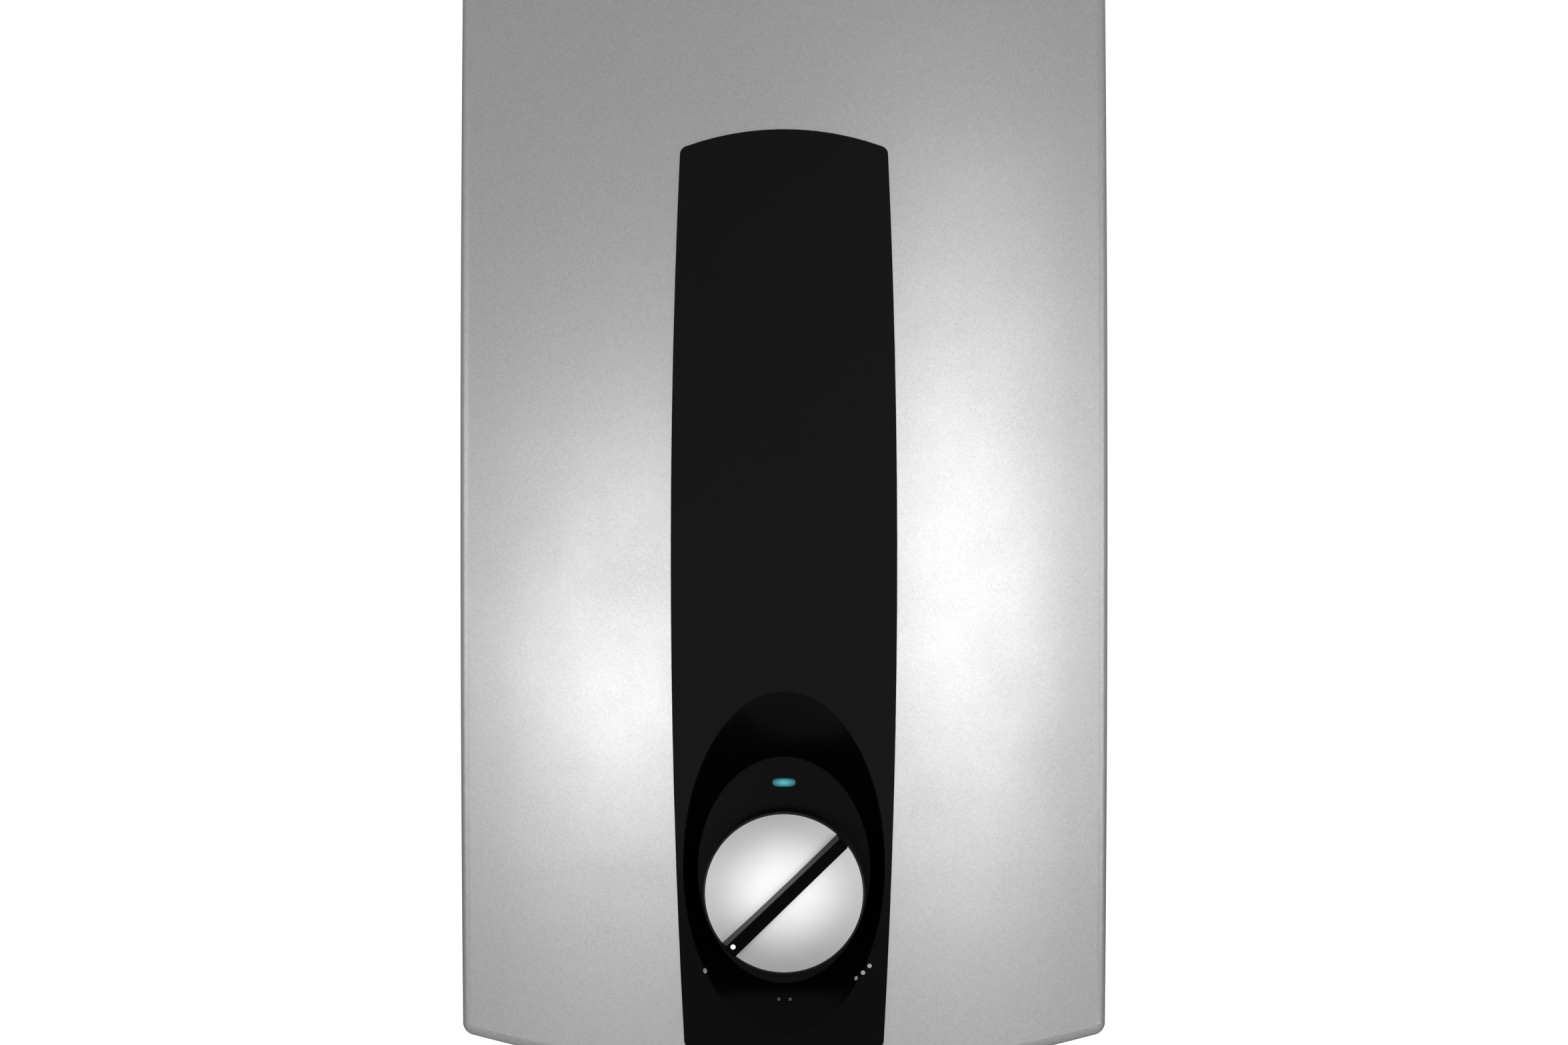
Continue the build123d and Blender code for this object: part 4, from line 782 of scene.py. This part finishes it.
@dataclass
class Knob(Assembly):
    """Black cup, bright domed cap, grip bar, pointer and the spindle behind them."""

    axis_z: float = -122.3  # Height of the knob's axis.
    radius: float = 24.2  # Radius of the cap.
    turn: float = 225.0  # Way that the pointer looks, in degrees from the right.
    half: Pair = (2.75, 2.4)  # Half the width of the grip's foot at the pointer and at the tail.
    lean: Pair = (0.0, -1.0)  # How far the pointer and the tail lie off the axis.
    # Depth, share of the width, pull-in of the ends and lean at each level.
    levels: tuple[tuple[float, float, float, float], ...] = (
        (95.3, 1.0, -0.6, 0.0), (103.2, 0.78, 0.2, -0.5), (103.8, 0.75, 0.35, -0.5), (104.1, 0.7, 0.6, -0.5),
        (104.2, 0.62, 0.9, -0.5))
    steps: int = 4  # Points across half an end of the grip.
    crown_from: float = 0.6  # How squarely a face looks to the front to be part of the matt crown.
    # Deep black with a narrow shine along the cup's edge.
    cup: Finish = Finish(
        "Black gloss moulding", "060607", "080809", (0.3, 0.36), mottle=20.0, grain=0.6, depth=0.003,
        specular=0.12, on=("knob_body",))
    # Black that mirrors a little of the cap beside it.
    flank: Finish = Finish(
        "Polished black moulding", "050506", "070708", (0.2, 0.26), mottle=20.0, grain=0.6, depth=0.001,
        specular=0.03)
    # The deepest black, with no shine.
    crown: Finish = Finish(
        "Matt black moulding", "030303", "040404", (0.5, 0.58), mottle=12.0, grain=0.4, depth=0.004,
        specular=0.01)
    # A soft bright middle with painted shade that greys it to the rim, and turning rings that just show.
    cap: Finish = SpunMetal(
        "Satin silver turned cap", "B2B2B2", "ACACAC", (0.38, 0.42), mottle=40.0, grain=0.8, depth=0.0015,
        metallic=0.8, on=("knob_cap",))
    # A clean white point.
    dot: Finish = Finish(
        "White inlay", "F0F0EE", "E6E6E4", (0.35, 0.4), mottle=1.0, grain=0.3, depth=0.001,
        on=("pointer_dot",))
    # Bright rings round the shaft.
    spindle: Finish = Finish(
        "Turned steel spindle", "B4B3B0", "9C9B98", (0.25, 0.35), mottle=3.0, grain=0.3, depth=0.003,
        metallic=1.0, run=(1.0, 0.2, 1.0), on=("knob_spindle",))

    def outline(self, share: float, pull: float, lean: float) -> list[Pair]:
        """Lay out the grip at one level, its ends following the cap's edge.

        Args:
            share: Share of the foot's width.
            pull: How far the ends are pulled in.
            lean: How far this level lies off the foot.

        Returns:
            Points along and across the grip, the pointer's end first.
        """
        reach = self.radius - pull
        points = []
        for sign, half, off in zip((1, -1), self.half, self.lean):
            for step in range(-self.steps, self.steps + 1):
                across = off + lean + sign * half * share * step / self.steps
                points.append((sign * math.sqrt(reach ** 2 - across ** 2), across))
        return points

    def build(self) -> Iterator[Object]:
        """Shape the grip with polished flanks and a matt crown, in place of its CAD node.

        Yields:
            The grip bar.
        """
        build = bmesh.new()
        way = math.radians(self.turn)
        lofted(build, [[build.verts.new((
            (along * math.cos(way) + across * math.sin(way)) * MM, -depth * MM,
            (self.axis_z + along * math.sin(way) - across * math.cos(way)) * MM))
            for along, across in self.outline(*level)] for depth, *level in self.levels])
        mesh = close_mesh(build, "grip_bar")
        for finish in (self.flank, self.crown):
            mesh.materials.append(finish.material())
        for face in mesh.polygons:
            face.material_index = int(face.normal.y < -self.crown_from)
        yield settle("grip_bar", mesh, self.flank, "knob", "knob_grip")


class Facing(Enum):
    """Way that the head of a screw faces."""

    DOWN = Matrix.Rotation(math.pi, 4, "X")
    FRONT = Matrix.Rotation(math.pi / 2, 4, "X")


@dataclass(frozen=True)
class Screw:
    """One kind of cross-recessed screw."""

    node: str  # CAD node that these screws stand for.
    shank: float  # Radius of the shank.
    head: float  # Radius of the head.
    tall: float  # Height of the head.
    long: float  # Length of the shank.
    facing: Facing  # Way that the heads face.
    count: tuple[int, int]  # Screws along X and Z.
    # Distance between the outermost screws, or none to take it from the node's box.
    span: Optional[Pair] = None


@dataclass
class Screws(Assembly):
    """Screws of the cover, the clamps and the board."""

    # The kinds of screw.
    kinds: tuple[Screw, ...] = (
        Screw("cover_screws", 1.95, 4.0, 2.6, 13.6, Facing.DOWN, (2, 1), (52.0, 0.0)),
        Screw("clamp_screws", 1.7, 3.5, 2.4, 3.5, Facing.FRONT, (2, 2)),
        Screw("board_screws", 1.45, 3.0, 2.0, 10.6, Facing.FRONT, (2, 2)))
    tip: Pair = (0.7, 0.8)  # Radius of the tip as a share of the shank's, and length of its taper.
    flat: float = 0.74  # Share of the head's radius that is flat on top.
    side: float = 0.45  # Share of the head's height below its rounding.
    rounding: int = 6  # Steps of that rounding.
    # Reach and width of the cross as shares of the head's radius, and depth as a share of its height.
    recess: Triple = (0.56, 0.2, 0.6)
    narrow: float = 0.8  # Share that the cross narrows to at its floor.
    around: int = 32  # Faces round a screw.
    # Cool silver whose shine is a little cloudy.
    zinc: Finish = Finish(
        "Zinc-plated steel", "B9BBBC", "9FA3A6", (0.26, 0.4), mottle=2.5, grain=0.25, depth=0.003,
        metallic=1.0)

    def build(self) -> Iterator[Object]:
        """Make each kind of screw in place of its CAD node.

        Yields:
            The screws of each kind as one piece.
        """
        for screw in self.kinds:
            low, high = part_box(screw.node)
            middle = (low + high) / 2 / MM
            span = screw.span or tuple((high[i] - low[i]) / MM - 2 * screw.head for i in (0, 2))
            if screw.facing is Facing.DOWN:
                centre = (middle.x, middle.y, low.z / MM + screw.tall)
            else:
                centre = (middle.x, low.y / MM + screw.tall, middle.z)
            mesh = self.one(screw)
            mesh.transform(screw.facing.value)
            rows = in_rows(mesh, screw.count, span, centre, self.zinc)
            yield settle(f"{screw.node}_turned", rows, self.zinc, "base", screw.node)

    def one(self, screw: Screw) -> Mesh:
        """Turn one screw, its head standing up from the origin, and press the cross into it.

        Args:
            screw: The kind of screw.

        Returns:
            The screw's mesh.
        """
        shank, head, tall, long = screw.shank, screw.head, screw.tall, screw.long
        build = bmesh.new()
        dome = [(head * (self.flat + (1 - self.flat) * math.cos(angle)),
                 tall * (self.side + (1 - self.side) * math.sin(angle)))
                for angle in [math.radians(90 / self.rounding * step) for step in range(self.rounding + 1)]]
        turned(build, [
            (0.0, -long), (shank * self.tip[0], -long), (shank, -long + self.tip[1]), (shank, 0.0),
            (head, 0.0), *dome], self.around)
        rim = [edge for edge in build.edges if edge.is_boundary]
        arm, half = head * self.recess[0] * MM, head * self.recess[1] / 2 * MM
        cross = []
        for quarter in range(4):
            turn = Matrix.Rotation(quarter * math.pi / 2, 3, "Z")
            cross += [turn @ Vector(p) for p in ((arm, -half, 0.0), (arm, half, 0.0), (half, half, 0.0))]
        top = Vector((0, 0, tall * MM))
        floor = Vector((0, 0, tall * (1 - self.recess[2]) * MM))
        mouth = [build.verts.new(corner + top) for corner in cross]
        pit = [build.verts.new(corner * self.narrow + floor) for corner in cross]
        loop = [build.edges.new(pair) for pair in zip(mouth, mouth[1:] + mouth[:1])]
        bmesh.ops.triangle_fill(build, edges=rim + loop, use_beauty=True)
        walled(build, mouth, pit)
        build.faces.new(pit)
        return close_mesh(build, "screw")


@dataclass
class WaterWays(Assembly):
    """Threaded nipples, their nuts, the flow sensor, the pipe and what holds them."""

    # Radius of the bore and of the socket above it for each nipple.
    bores: tuple[tuple[str, float, float], ...] = (("hot_nipple", 6.0, 7.1), ("cold_nipple", 7.5, 8.6))
    crest: float = 10.48  # Radius over the thread.
    root: float = 9.32  # Radius at the bottom of the thread.
    pitch: float = 1.814  # Thread pitch of a half-inch pipe thread.
    flank: Pair = (0.06, 0.44)  # Shares of the pitch at which a flank begins and ends.
    fade: float = 0.06  # Share of the length over which the thread fades out at each end.
    thread: Pair = (-197.91, -181.91)  # Lower and upper end of the thread.
    chamfer: float = 1.2  # Height of the chamfer below the thread.
    shank: float = 10.2  # Radius between the thread and the collar.
    collar: Triple = (-168.41, -163.41, 13.0)  # Bottom, top and corner radius of the hexagonal collar.
    bevel: Pair = (0.7, 0.25)  # Height of the collar's bevels, and share of its corners that they leave.
    socket: Pair = (-150.41, 11.0)  # Top and radius of the socket.
    edge: float = 0.5  # Width of the broken edges.
    lip: float = 0.4  # Width of the chamfer in the bore's mouth.
    lap: Pair = (0.2, 0.1)  # How far the body starts inside the collar, and its shoulder above the thread.
    depth: float = 32.0  # Distance of the nipples from the wall.
    around: int = 60  # Faces round a nipple.
    rows: int = 10  # Rows of faces to a turn of the thread.
    hexed: int = 24  # Corners of the collar's rings.
    # Warm yellow metal with bright turning lines.
    brass: Finish = Finish(
        "Turned brass", "CDB57C", "B79C60", (0.2, 0.34), mottle=6.0, grain=0.3, depth=0.004, metallic=1.0,
        run=(4.0, 4.0, 1.0), on=("lock_nuts",))
    # Red metal that browns in long streaks, as drawn tube does.
    copper: Finish = Finish(
        "Drawn copper tube", "C07A56", "8E4E35", (0.24, 0.42), mottle=14.0, grain=0.5, depth=0.004,
        metallic=1.0, run=(1.0, 1.0, 5.0), on=("outlet_pipe",))
    # Grey metal with fine lines across its width.
    steel: Finish = Finish(
        "Spring steel strip", "A9ABAD", "8D9092", (0.28, 0.4), mottle=4.0, grain=0.35, depth=0.003,
        metallic=1.0, run=(4.0, 1.0, 1.0), on=("pipe_clips", "turbine_axle"))
    # Bright wires over dark gaps, drawn coarser than the real weave so that they show.
    strainer: Finish = Finish(
        "Woven stainless strainer", "9C9E9F", "5A5C5E", (0.3, 0.4), mottle=0.7, grain=0.5, depth=0.03,
        metallic=1.0, on=("inlet_strainer",))
    # Dull black, faintly speckled by its fibres.
    sensor: Finish = Finish(
        "Glass-filled black plastic", "17181A", "202124", (0.42, 0.55), mottle=3.0, grain=0.4, depth=0.012,
        on=("flow_sensor_body", "flow_pickup", "outlet_probe"))
    # Milky white with a soft waxy shine.
    acetal: Finish = Finish(
        "White acetal", "E9E8E1", "DDDCD4", (0.3, 0.38), mottle=8.0, grain=0.5, depth=0.003,
        on=("flow_turbine", "flow_limiter"))
    # Matt black with a dusty bloom.
    rubber: Finish = Finish(
        "Black rubber", "101011", "18181A", (0.6, 0.75), mottle=3.0, grain=0.5, depth=0.012, specular=0.3,
        on=("stub_seals",))

    def build(self) -> Iterator[Object]:
        """Turn each nipple with a real thread, in place of its CAD node.

        Yields:
            The nipples.
        """
        for node, bore, socket_bore in self.bores:
            low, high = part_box(node)
            build = bmesh.new()
            turned(build, self.profile(bore, socket_bore), self.around)
            lofted(build, self.collar_rings(build))
            start = self.thread[0] + self.chamfer
            skin = self.wound(self.thread[1] - start)
            skin.transform(Matrix.Translation((0, 0, start * MM)))
            build.from_mesh(skin)
            mesh = close_mesh(build, f"{node}_threaded")
            mesh.transform(Matrix.Translation(((low.x + high.x) / 2, -self.depth * MM, 0)))
            yield settle(f"{node}_threaded", mesh, self.brass, "base", node)

    def profile(self, bore: float, socket_bore: float) -> list[Pair]:
        """Draw half a nipple's section without its thread and collar.

        Args:
            bore: Radius of its bore.
            socket_bore: Radius of the socket above.

        Returns:
            Radius and height of each point, from the thread's foot round to its head.
        """
        low, high = self.thread
        inside, floor, _ = self.collar
        inside += self.lap[0]
        shoulder = high + self.lap[1]
        top, wide = self.socket
        edge = self.edge
        return [
            (self.root, low + self.chamfer), (self.root - edge, low), (bore + self.lip, low),
            (bore, low + self.lip), (bore, floor), (socket_bore, floor), (socket_bore, top - edge),
            (socket_bore + edge, top), (wide - edge, top), (wide, top - edge), (wide, inside),
            (self.shank, inside), (self.shank, shoulder), (self.root, high)]

    def collar_rings(self, build: BMesh) -> list[list]:
        """Lay out the hexagonal collar as rings, its corners cut at both ends.

        Args:
            build: The mesh being built.

        Returns:
            Vertices of each ring.
        """
        low, high, corner = self.collar
        bevel, left = self.bevel
        flat = corner * math.cos(math.pi / 6)
        rings = []
        for height, share in ((low, left), (low + bevel, 1.0), (high - bevel, 1.0), (high, left)):
            rings.append([])
            for angle in [2 * math.pi * i / self.hexed for i in range(self.hexed)]:
                reach = flat / math.cos((angle + math.pi / 6) % (math.pi / 3) - math.pi / 6)
                reach = min(reach, flat + (corner - flat) * share) * MM
                rings[-1].append(build.verts.new((
                    reach * math.cos(angle), reach * math.sin(angle), height * MM)))
        return rings

    def wound(self, length: float) -> Mesh:
        """Wind the thread upwards from the origin as one skin that fades out at both ends.

        Args:
            length: Length of the thread.

        Returns:
            The thread's skin.
        """
        grown = Grown("screw thread", self.brass, {
            "Root": self.root * MM, "Crest": self.crest * MM, "Pitch": self.pitch * MM, "Length": length * MM,
            "Around": self.around + 1, "Along": self.rows * round(length / self.pitch) + 1})
        given, add = grown.given, grown.add
        grid = add("MeshGrid", {
            "Size X": 1.0, "Size Y": 1.0, "Vertices X": given["Around"], "Vertices Y": given["Along"]})
        spot = add("ShaderNodeSeparateXYZ", {0: add("InputPosition")})
        share, rise = [add("ShaderNodeMath", {0: part, 1: 0.5}, operation="ADD") for part in spot.outputs[:2]]
        height = add("ShaderNodeMath", {0: rise, 1: given["Length"]}, operation="MULTIPLY")
        turns = add("ShaderNodeMath", {0: height, 1: given["Pitch"]}, operation="DIVIDE")
        phase = add("ShaderNodeMath", {0: turns, 1: share}, operation="SUBTRACT")
        wave, end = [add("ShaderNodeMath", {0: way, 1: 0.5}, operation="PINGPONG") for way in (phase, rise)]
        flank = add("ShaderNodeMapRange", {
            "Value": wave, "From Min": self.flank[0], "From Max": self.flank[1]})
        fade = add("ShaderNodeMapRange", {"Value": end, "From Max": self.fade})
        lift = add("ShaderNodeMath", {0: flank, 1: fade}, operation="MULTIPLY")
        radius = add("ShaderNodeMapRange", {"Value": lift, "To Min": given["Root"], "To Max": given["Crest"]})
        angle = add("ShaderNodeMath", {0: share, 1: 2 * math.pi}, operation="MULTIPLY")
        goal = add("ShaderNodeCombineXYZ", {2: height})
        for place, swing in enumerate(("COSINE", "SINE")):
            part = add("ShaderNodeMath", {0: angle}, operation=swing)
            part = add("ShaderNodeMath", {0: part, 1: radius}, operation="MULTIPLY")
            grown.tree.links.new(part.outputs[0], goal.inputs[place])
        wound = add("SetPosition", {"Geometry": grid, "Position": goal})
        shut = add("MergeByDistance", {"Geometry": wound, "Distance": MERGE})
        return grown.run(shut, bpy.data.meshes.new("thread"))


@dataclass
class HeatingCylinder(Assembly):
    """Copper vessel with its cap, elements, clamps and the two devices on its pads."""

    # Red metal, browned in broad clouds by the brazing heat.
    copper: Finish = Finish(
        "Brazed copper vessel", "BF7853", "8A4B33", (0.26, 0.44), mottle=22.0, grain=0.6, depth=0.004,
        metallic=1.0, run=(1.0, 1.0, 3.0), on=("heating_cylinder",))
    # Yellow metal, smoother than the turned nipples.
    brass: Finish = Finish(
        "Pressed brass cap", "C9B077", "AE9257", (0.24, 0.36), mottle=8.0, grain=0.4, depth=0.003,
        metallic=1.0, on=("cylinder_cap",))
    # Dull brown-grey, as metal that has glowed.
    sheath: Finish = Finish(
        "Oxidised heater sheath", "6C675F", "4F4A45", (0.4, 0.55), mottle=5.0, grain=0.4, depth=0.006,
        metallic=0.9, on=("heating_elements",))
    # Chalky cream with hardly a shine.
    ceramic: Finish = Finish(
        "White steatite", "E4E0D4", "D6D1C2", (0.4, 0.5), mottle=4.0, grain=0.4, depth=0.005,
        on=("element_bushings",))
    # Pale grey with the flat patches of hot zinc.
    strap: Finish = Finish(
        "Galvanised strip", "A6A9AA", "8A8E90", (0.32, 0.48), mottle=6.0, grain=1.2, depth=0.003,
        metallic=1.0, on=("cylinder_clamps",))
    # Hard black with a low shine.
    device: Finish = Finish(
        "Black phenolic", "131315", "1C1C1F", (0.38, 0.48), mottle=3.0, grain=0.4, depth=0.006,
        on=("thermal_cutout", "power_switch"))
    # A clear red that is found at once.
    button: Finish = Finish(
        "Red reset button", "B3141A", "9C1016", (0.25, 0.32), mottle=3.0, grain=0.4, depth=0.002,
        on=("reset_button",))


@dataclass
class Electrics(Assembly):
    """Control board with its components, the terminal block, the grommet and the inner leads."""

    face: float = 64.0  # Depth of the board's front.
    chip: Triple = (-45.16, -80.56, 12.0)  # Middle and width of the control chip.
    leg: Triple = (1.6, 0.25, 0.45)  # Size of a leg of the chip.
    legs: tuple[int, int] = (2, 11)  # Sides with legs and legs on each.
    leg_span: float = 10.0  # Distance between the outermost legs of a side.
    leg_reach: float = 0.7  # How far the middle of a leg lies outside the chip.
    resistor: Triple = (1.5, 0.55, 1.25)  # Size of a resistor's body.
    tinned: Triple = (0.45, 0.6, 1.3)  # Size of its tinned ends.
    tinned_at: float = 0.85  # Distance of an end from the resistor's middle.
    rise: Pair = (0.13, 0.3)  # Middle of a leg and of a resistor over the board.
    edge: Pair = (0.06, 0.05)  # Broken edges of metal and of a moulding.
    # Rows of resistors as middle, count and span.
    parts: tuple[tuple[Pair, tuple[int, int], Pair], ...] = (
        ((-66.0, -80.0), (3, 5), (12.0, 24.0)), ((-25.0, -84.0), (3, 6), (12.0, 30.0)),
        ((-50.0, -114.0), (7, 2), (44.0, 7.0)), ((-10.0, 14.0), (3, 4), (16.0, 22.0)))
    # Glossy green with paler tracks under it.
    mask: Finish = SolderMask(
        "Green solder mask", "0B4423", "0A3A1E", (0.28, 0.36), mottle=18.0, grain=0.6, depth=0.003,
        on=("control_board",))
    # Matt black with a fine moulded grain.
    case: Finish = Finish(
        "Black epoxy case", "141416", "1B1B1E", (0.4, 0.5), mottle=2.5, grain=0.3, depth=0.008,
        on=("control_chip", "potentiometer_body"))
    # Even blue with a moulded shine.
    relay: Finish = Finish(
        "Blue relay case", "1D3F7C", "193869", (0.28, 0.34), mottle=8.0, grain=0.5, depth=0.003,
        on=("relays",))
    # Yellow tape between dark blocks.
    coil: Finish = TwoTone(
        "Yellow taped coil on ferrite", "C9A233", "B48F28", (0.32, 0.42), mottle=6.0, grain=0.5, depth=0.006,
        second="232326", axis=2, middle=-30.6, reach=8.15, on=("transformer",))
    # A black skin with a pale bare top.
    sleeve: Finish = TwoTone(
        "Sleeved aluminium can", "15171C", "1D2026", (0.28, 0.36), mottle=6.0, grain=0.5, depth=0.004,
        second="B2B3B4", axis=1, middle=-64.0, reach=13.7, on=("capacitors",))
    # Warm off-white that looks slightly soft.
    nylon: Finish = Finish(
        "Natural nylon", "E6E2D5", "DAD5C6", (0.36, 0.46), mottle=4.0, grain=0.4, depth=0.004,
        on=("board_plugs", "potentiometer_rotor", "status_led"))
    # Yellower and duller than the plugs.
    block: Finish = Finish(
        "Ivory polyamide", "D9D2B8", "CDC5A9", (0.38, 0.48), mottle=5.0, grain=0.4, depth=0.006,
        on=("terminal_block",))
    # Bright silver points.
    tin: Finish = Finish(
        "Tinned copper", "C4C5C6", "A8AAAC", (0.22, 0.34), mottle=1.5, grain=0.2, depth=0.002, metallic=1.0,
        on=("terminal_screws",))
    # Matt black that swallows the light.
    rubber: Finish = Finish(
        "Grommet rubber", "121213", "1A1A1C", (0.6, 0.75), mottle=4.0, grain=0.5, depth=0.01, specular=0.3,
        on=("cable_grommet",))
    # Brown with a dull, slightly sticky look.
    brown: Finish = Finish(
        "Brown silicone lead", "6A3A22", "5C301B", (0.4, 0.5), mottle=5.0, grain=0.6, depth=0.004,
        on=("power_leads",))
    # White that is a little grey from handling.
    white: Finish = Finish(
        "White covered lead", "DEDDD8", "D0CFC9", (0.4, 0.5), mottle=5.0, grain=0.6, depth=0.004,
        on=("signal_leads",))

    def build(self) -> Iterator[Object]:
        """Set legs along the chip's sides and rows of resistors with tinned ends on the board.

        Yields:
            The legs and the rows.
        """
        x, z, wide = self.chip
        span = (wide + 2 * self.leg_reach, self.leg_span)
        for name, way in (("chip_side_legs", 1), ("chip_end_legs", -1)):
            leg = self.blunt("leg", self.leg[::way], (0, -self.rise[0], 0), self.edge[0])
            rows = in_rows(leg, self.legs[::way], span[::way], (x, -self.face, z), self.tin)
            yield settle(name, rows, self.tin, "base")
        body = self.blunt("resistor", self.resistor, (0, -self.rise[1], 0), self.edge[1])
        ends = [self.blunt("end", self.tinned, (x, -self.rise[1], 0), self.edge[0])
                for x in (self.tinned_at, -self.tinned_at)]
        pair = close_mesh(opened(*ends), "resistor_ends", smooth=False)
        for number, ((x, z), count, span) in enumerate(self.parts):
            rows = in_rows(body, count, span, (x, -self.face, z), self.case)
            yield settle(f"small_parts_{number}", rows, self.case, "base")
            rows = in_rows(pair, count, span, (x, -self.face, z), self.tin)
            yield settle(f"small_part_ends_{number}", rows, self.tin, "base")

    def blunt(self, name: str, size: Triple, centre: Triple, edge: float) -> Mesh:
        """Make a small block with broken edges.

        Args:
            name: Name of the mesh.
            size: Its size along X, Y and Z.
            centre: Its middle.
            edge: Width of the broken edges.

        Returns:
            The block.
        """
        build = bmesh.new()
        bmesh.ops.create_cube(build, size=MM, matrix=Matrix.Diagonal((*size, 1.0)))
        bmesh.ops.bevel(build, geom=build.edges[:], offset=edge * MM, segments=1, affect="EDGES")
        bmesh.ops.translate(build, verts=build.verts, vec=Vector(centre) * MM)
        return close_mesh(build, name, smooth=False)


@dataclass(frozen=True)
class Lamp:
    """A soft rectangular lamp."""

    name: str  # Its name.
    place: Triple  # Its place, in metres.
    size: Pair  # Its width and height, in metres.
    power: float  # Its power, in watts.

    def hang(self, aim: Triple) -> None:
        """Hang the lamp so that it faces a point.

        Args:
            aim: The point, in metres.
        """
        data = bpy.data.lights.new(self.name, "AREA")
        data.shape = "RECTANGLE"
        data.size, data.size_y = self.size
        data.energy = self.power
        lamp = bpy.data.objects.new(self.name, data)
        lamp.location = self.place
        lamp.rotation_euler = (Vector(aim) - Vector(self.place)).to_track_quat("-Z", "Y").to_euler()
        bpy.context.scene.collection.objects.link(lamp)


@dataclass
class Studio:
    """White room, two soft lamps beside the camera, two at the sides, one behind and one overhead."""

    frame_width: float = 482.0  # Width of the view at the front of the casing.
    distance: float = 1.1  # Camera's distance from that plane, in metres.
    eye_z: float = -8.7  # Height of the camera.
    front: float = 92.0  # Depth of that plane.
    sensor: float = 36.0  # Width of the camera's sensor.
    aim: Triple = (0.0, -0.09, -0.02)  # Point that the lamps face, in metres.
    # The lamps.
    lamps: tuple[Lamp, ...] = (
        Lamp("left lamp", (-0.40, -1.5, -0.21), (0.4, 0.33), 5.4),
        Lamp("right lamp", (0.44, -1.5, -0.09), (0.3, 0.68), 7.3),
        Lamp("left side lamp", (-1.5, -0.9, -0.12), (1.2, 0.65), 6.0),
        Lamp("right side lamp", (1.5, -0.9, -0.12), (1.2, 0.65), 7.0),
        Lamp("back lamp", (0.5, 1.9, 0.5), (1.8, 1.4), 17.0),
        Lamp("top lamp", (0.0, -0.5, 1.7), (1.6, 1.0), 4.0))
    room: float = 0.5  # Strength of the room as light, beside 1 where it is seen.
    floor_z: float = -0.72  # Height of the floor, in metres.
    floor_half: float = 6.0  # Half the width of the floor, in metres.
    floor_shown: Pair = (0.6, 0.18)  # Light that the floor adds where it is seen, and in gloss.

    def build(self) -> None:
        """Set up camera, world, lamps and floor."""
        self.camera()
        self.world()
        for lamp in self.lamps:
            lamp.hang(self.aim)
        self.floor()
        bpy.context.scene.view_settings.view_transform = "Standard"

    def camera(self) -> None:
        """Stand the camera straight in front, at the photo's distance."""
        data = bpy.data.cameras.new("camera")
        data.sensor_width = self.sensor
        data.lens = self.sensor * self.distance / (self.frame_width * MM)
        eye = bpy.data.objects.new("camera", data)
        eye.location = (0.0, -self.front * MM - self.distance, self.eye_z * MM)
        eye.rotation_euler = (math.radians(90), 0.0, 0.0)
        bpy.context.scene.collection.objects.link(eye)
        bpy.context.scene.camera = eye

    def world(self) -> None:
        """White to the camera, to gloss and to glass; a quieter grey as light."""
        world = bpy.data.worlds.new("white room")
        bpy.context.scene.world = world
        world.use_nodes = True
        sky = Nodes(world.node_tree)
        path = sky.add("LightPath").outputs
        seen = sky.add("Math", {0: path["Is Camera Ray"], 1: path["Is Glossy Ray"]}, operation="MAXIMUM")
        shown = sky.add("Math", {0: seen, 1: path["Is Transmission Ray"]}, operation="MAXIMUM")
        strength = sky.add("MapRange", {"Value": shown, "To Min": self.room, "To Max": 1.0})
        light = sky.add("Background", {"Color": linear("FFFFFF"), "Strength": strength})
        sky.add("OutputWorld", {"Surface": light})

    def floor(self) -> None:
        """Lay the pale floor below the casing, open to a look from under it."""
        build = bmesh.new()
        bmesh.ops.create_grid(
            build, x_segments=1, y_segments=1, size=self.floor_half,
            matrix=Matrix.Translation((0, 0, self.floor_z)))
        mesh = bpy.data.meshes.new("floor")
        build.to_mesh(mesh)
        build.free()
        # Matt and nearly white, so that it runs into the room and keeps only the shadow.
        made = bpy.data.materials.new("Pale studio floor")
        made.use_nodes = True
        paint = Nodes(made.node_tree)
        path = paint.add("LightPath").outputs
        shown = paint.add("Math", {
            0: path["Is Camera Ray"], 1: path["Is Transmission Ray"]}, operation="MAXIMUM")
        lift = paint.add("MapRange", {"Value": shown, "To Max": self.floor_shown[0]})
        level = paint.add("Math", {
            0: path["Is Glossy Ray"], 1: self.floor_shown[1], 2: lift}, operation="MULTIPLY_ADD")
        glow = paint.add("Emission", {"Color": linear("FFFFFF"), "Strength": level})
        matt = paint.add("BsdfDiffuse", {"Color": linear("F4F4F4")})
        both = paint.add("AddShader", {0: matt, 1: glow})
        under = paint.add("NewGeometry").outputs["Backfacing"]
        sided = paint.add("MixShader", {0: under, 1: both, 2: paint.add("BsdfTransparent")})
        paint.add("OutputMaterial", {"Surface": sided})
        mesh.materials.append(made)
        floor = bpy.data.objects.new("floor", mesh)
        bpy.context.scene.collection.objects.link(floor)


def main() -> None:
    """Build the sub-assemblies in order and light them."""
    logging.basicConfig(level=logging.INFO, format="%(message)s")
    for assembly in (Casing(), ControlPanel(), Knob(), Screws(), WaterWays(), HeatingCylinder(), Electrics()):
        assembly.dress()
        for piece in assembly.build():
            LOG.info("%s: %s, %d faces", type(assembly).__name__, piece.name, len(piece.data.polygons))
    Studio().build()


if __name__ == "__main__":
    main()
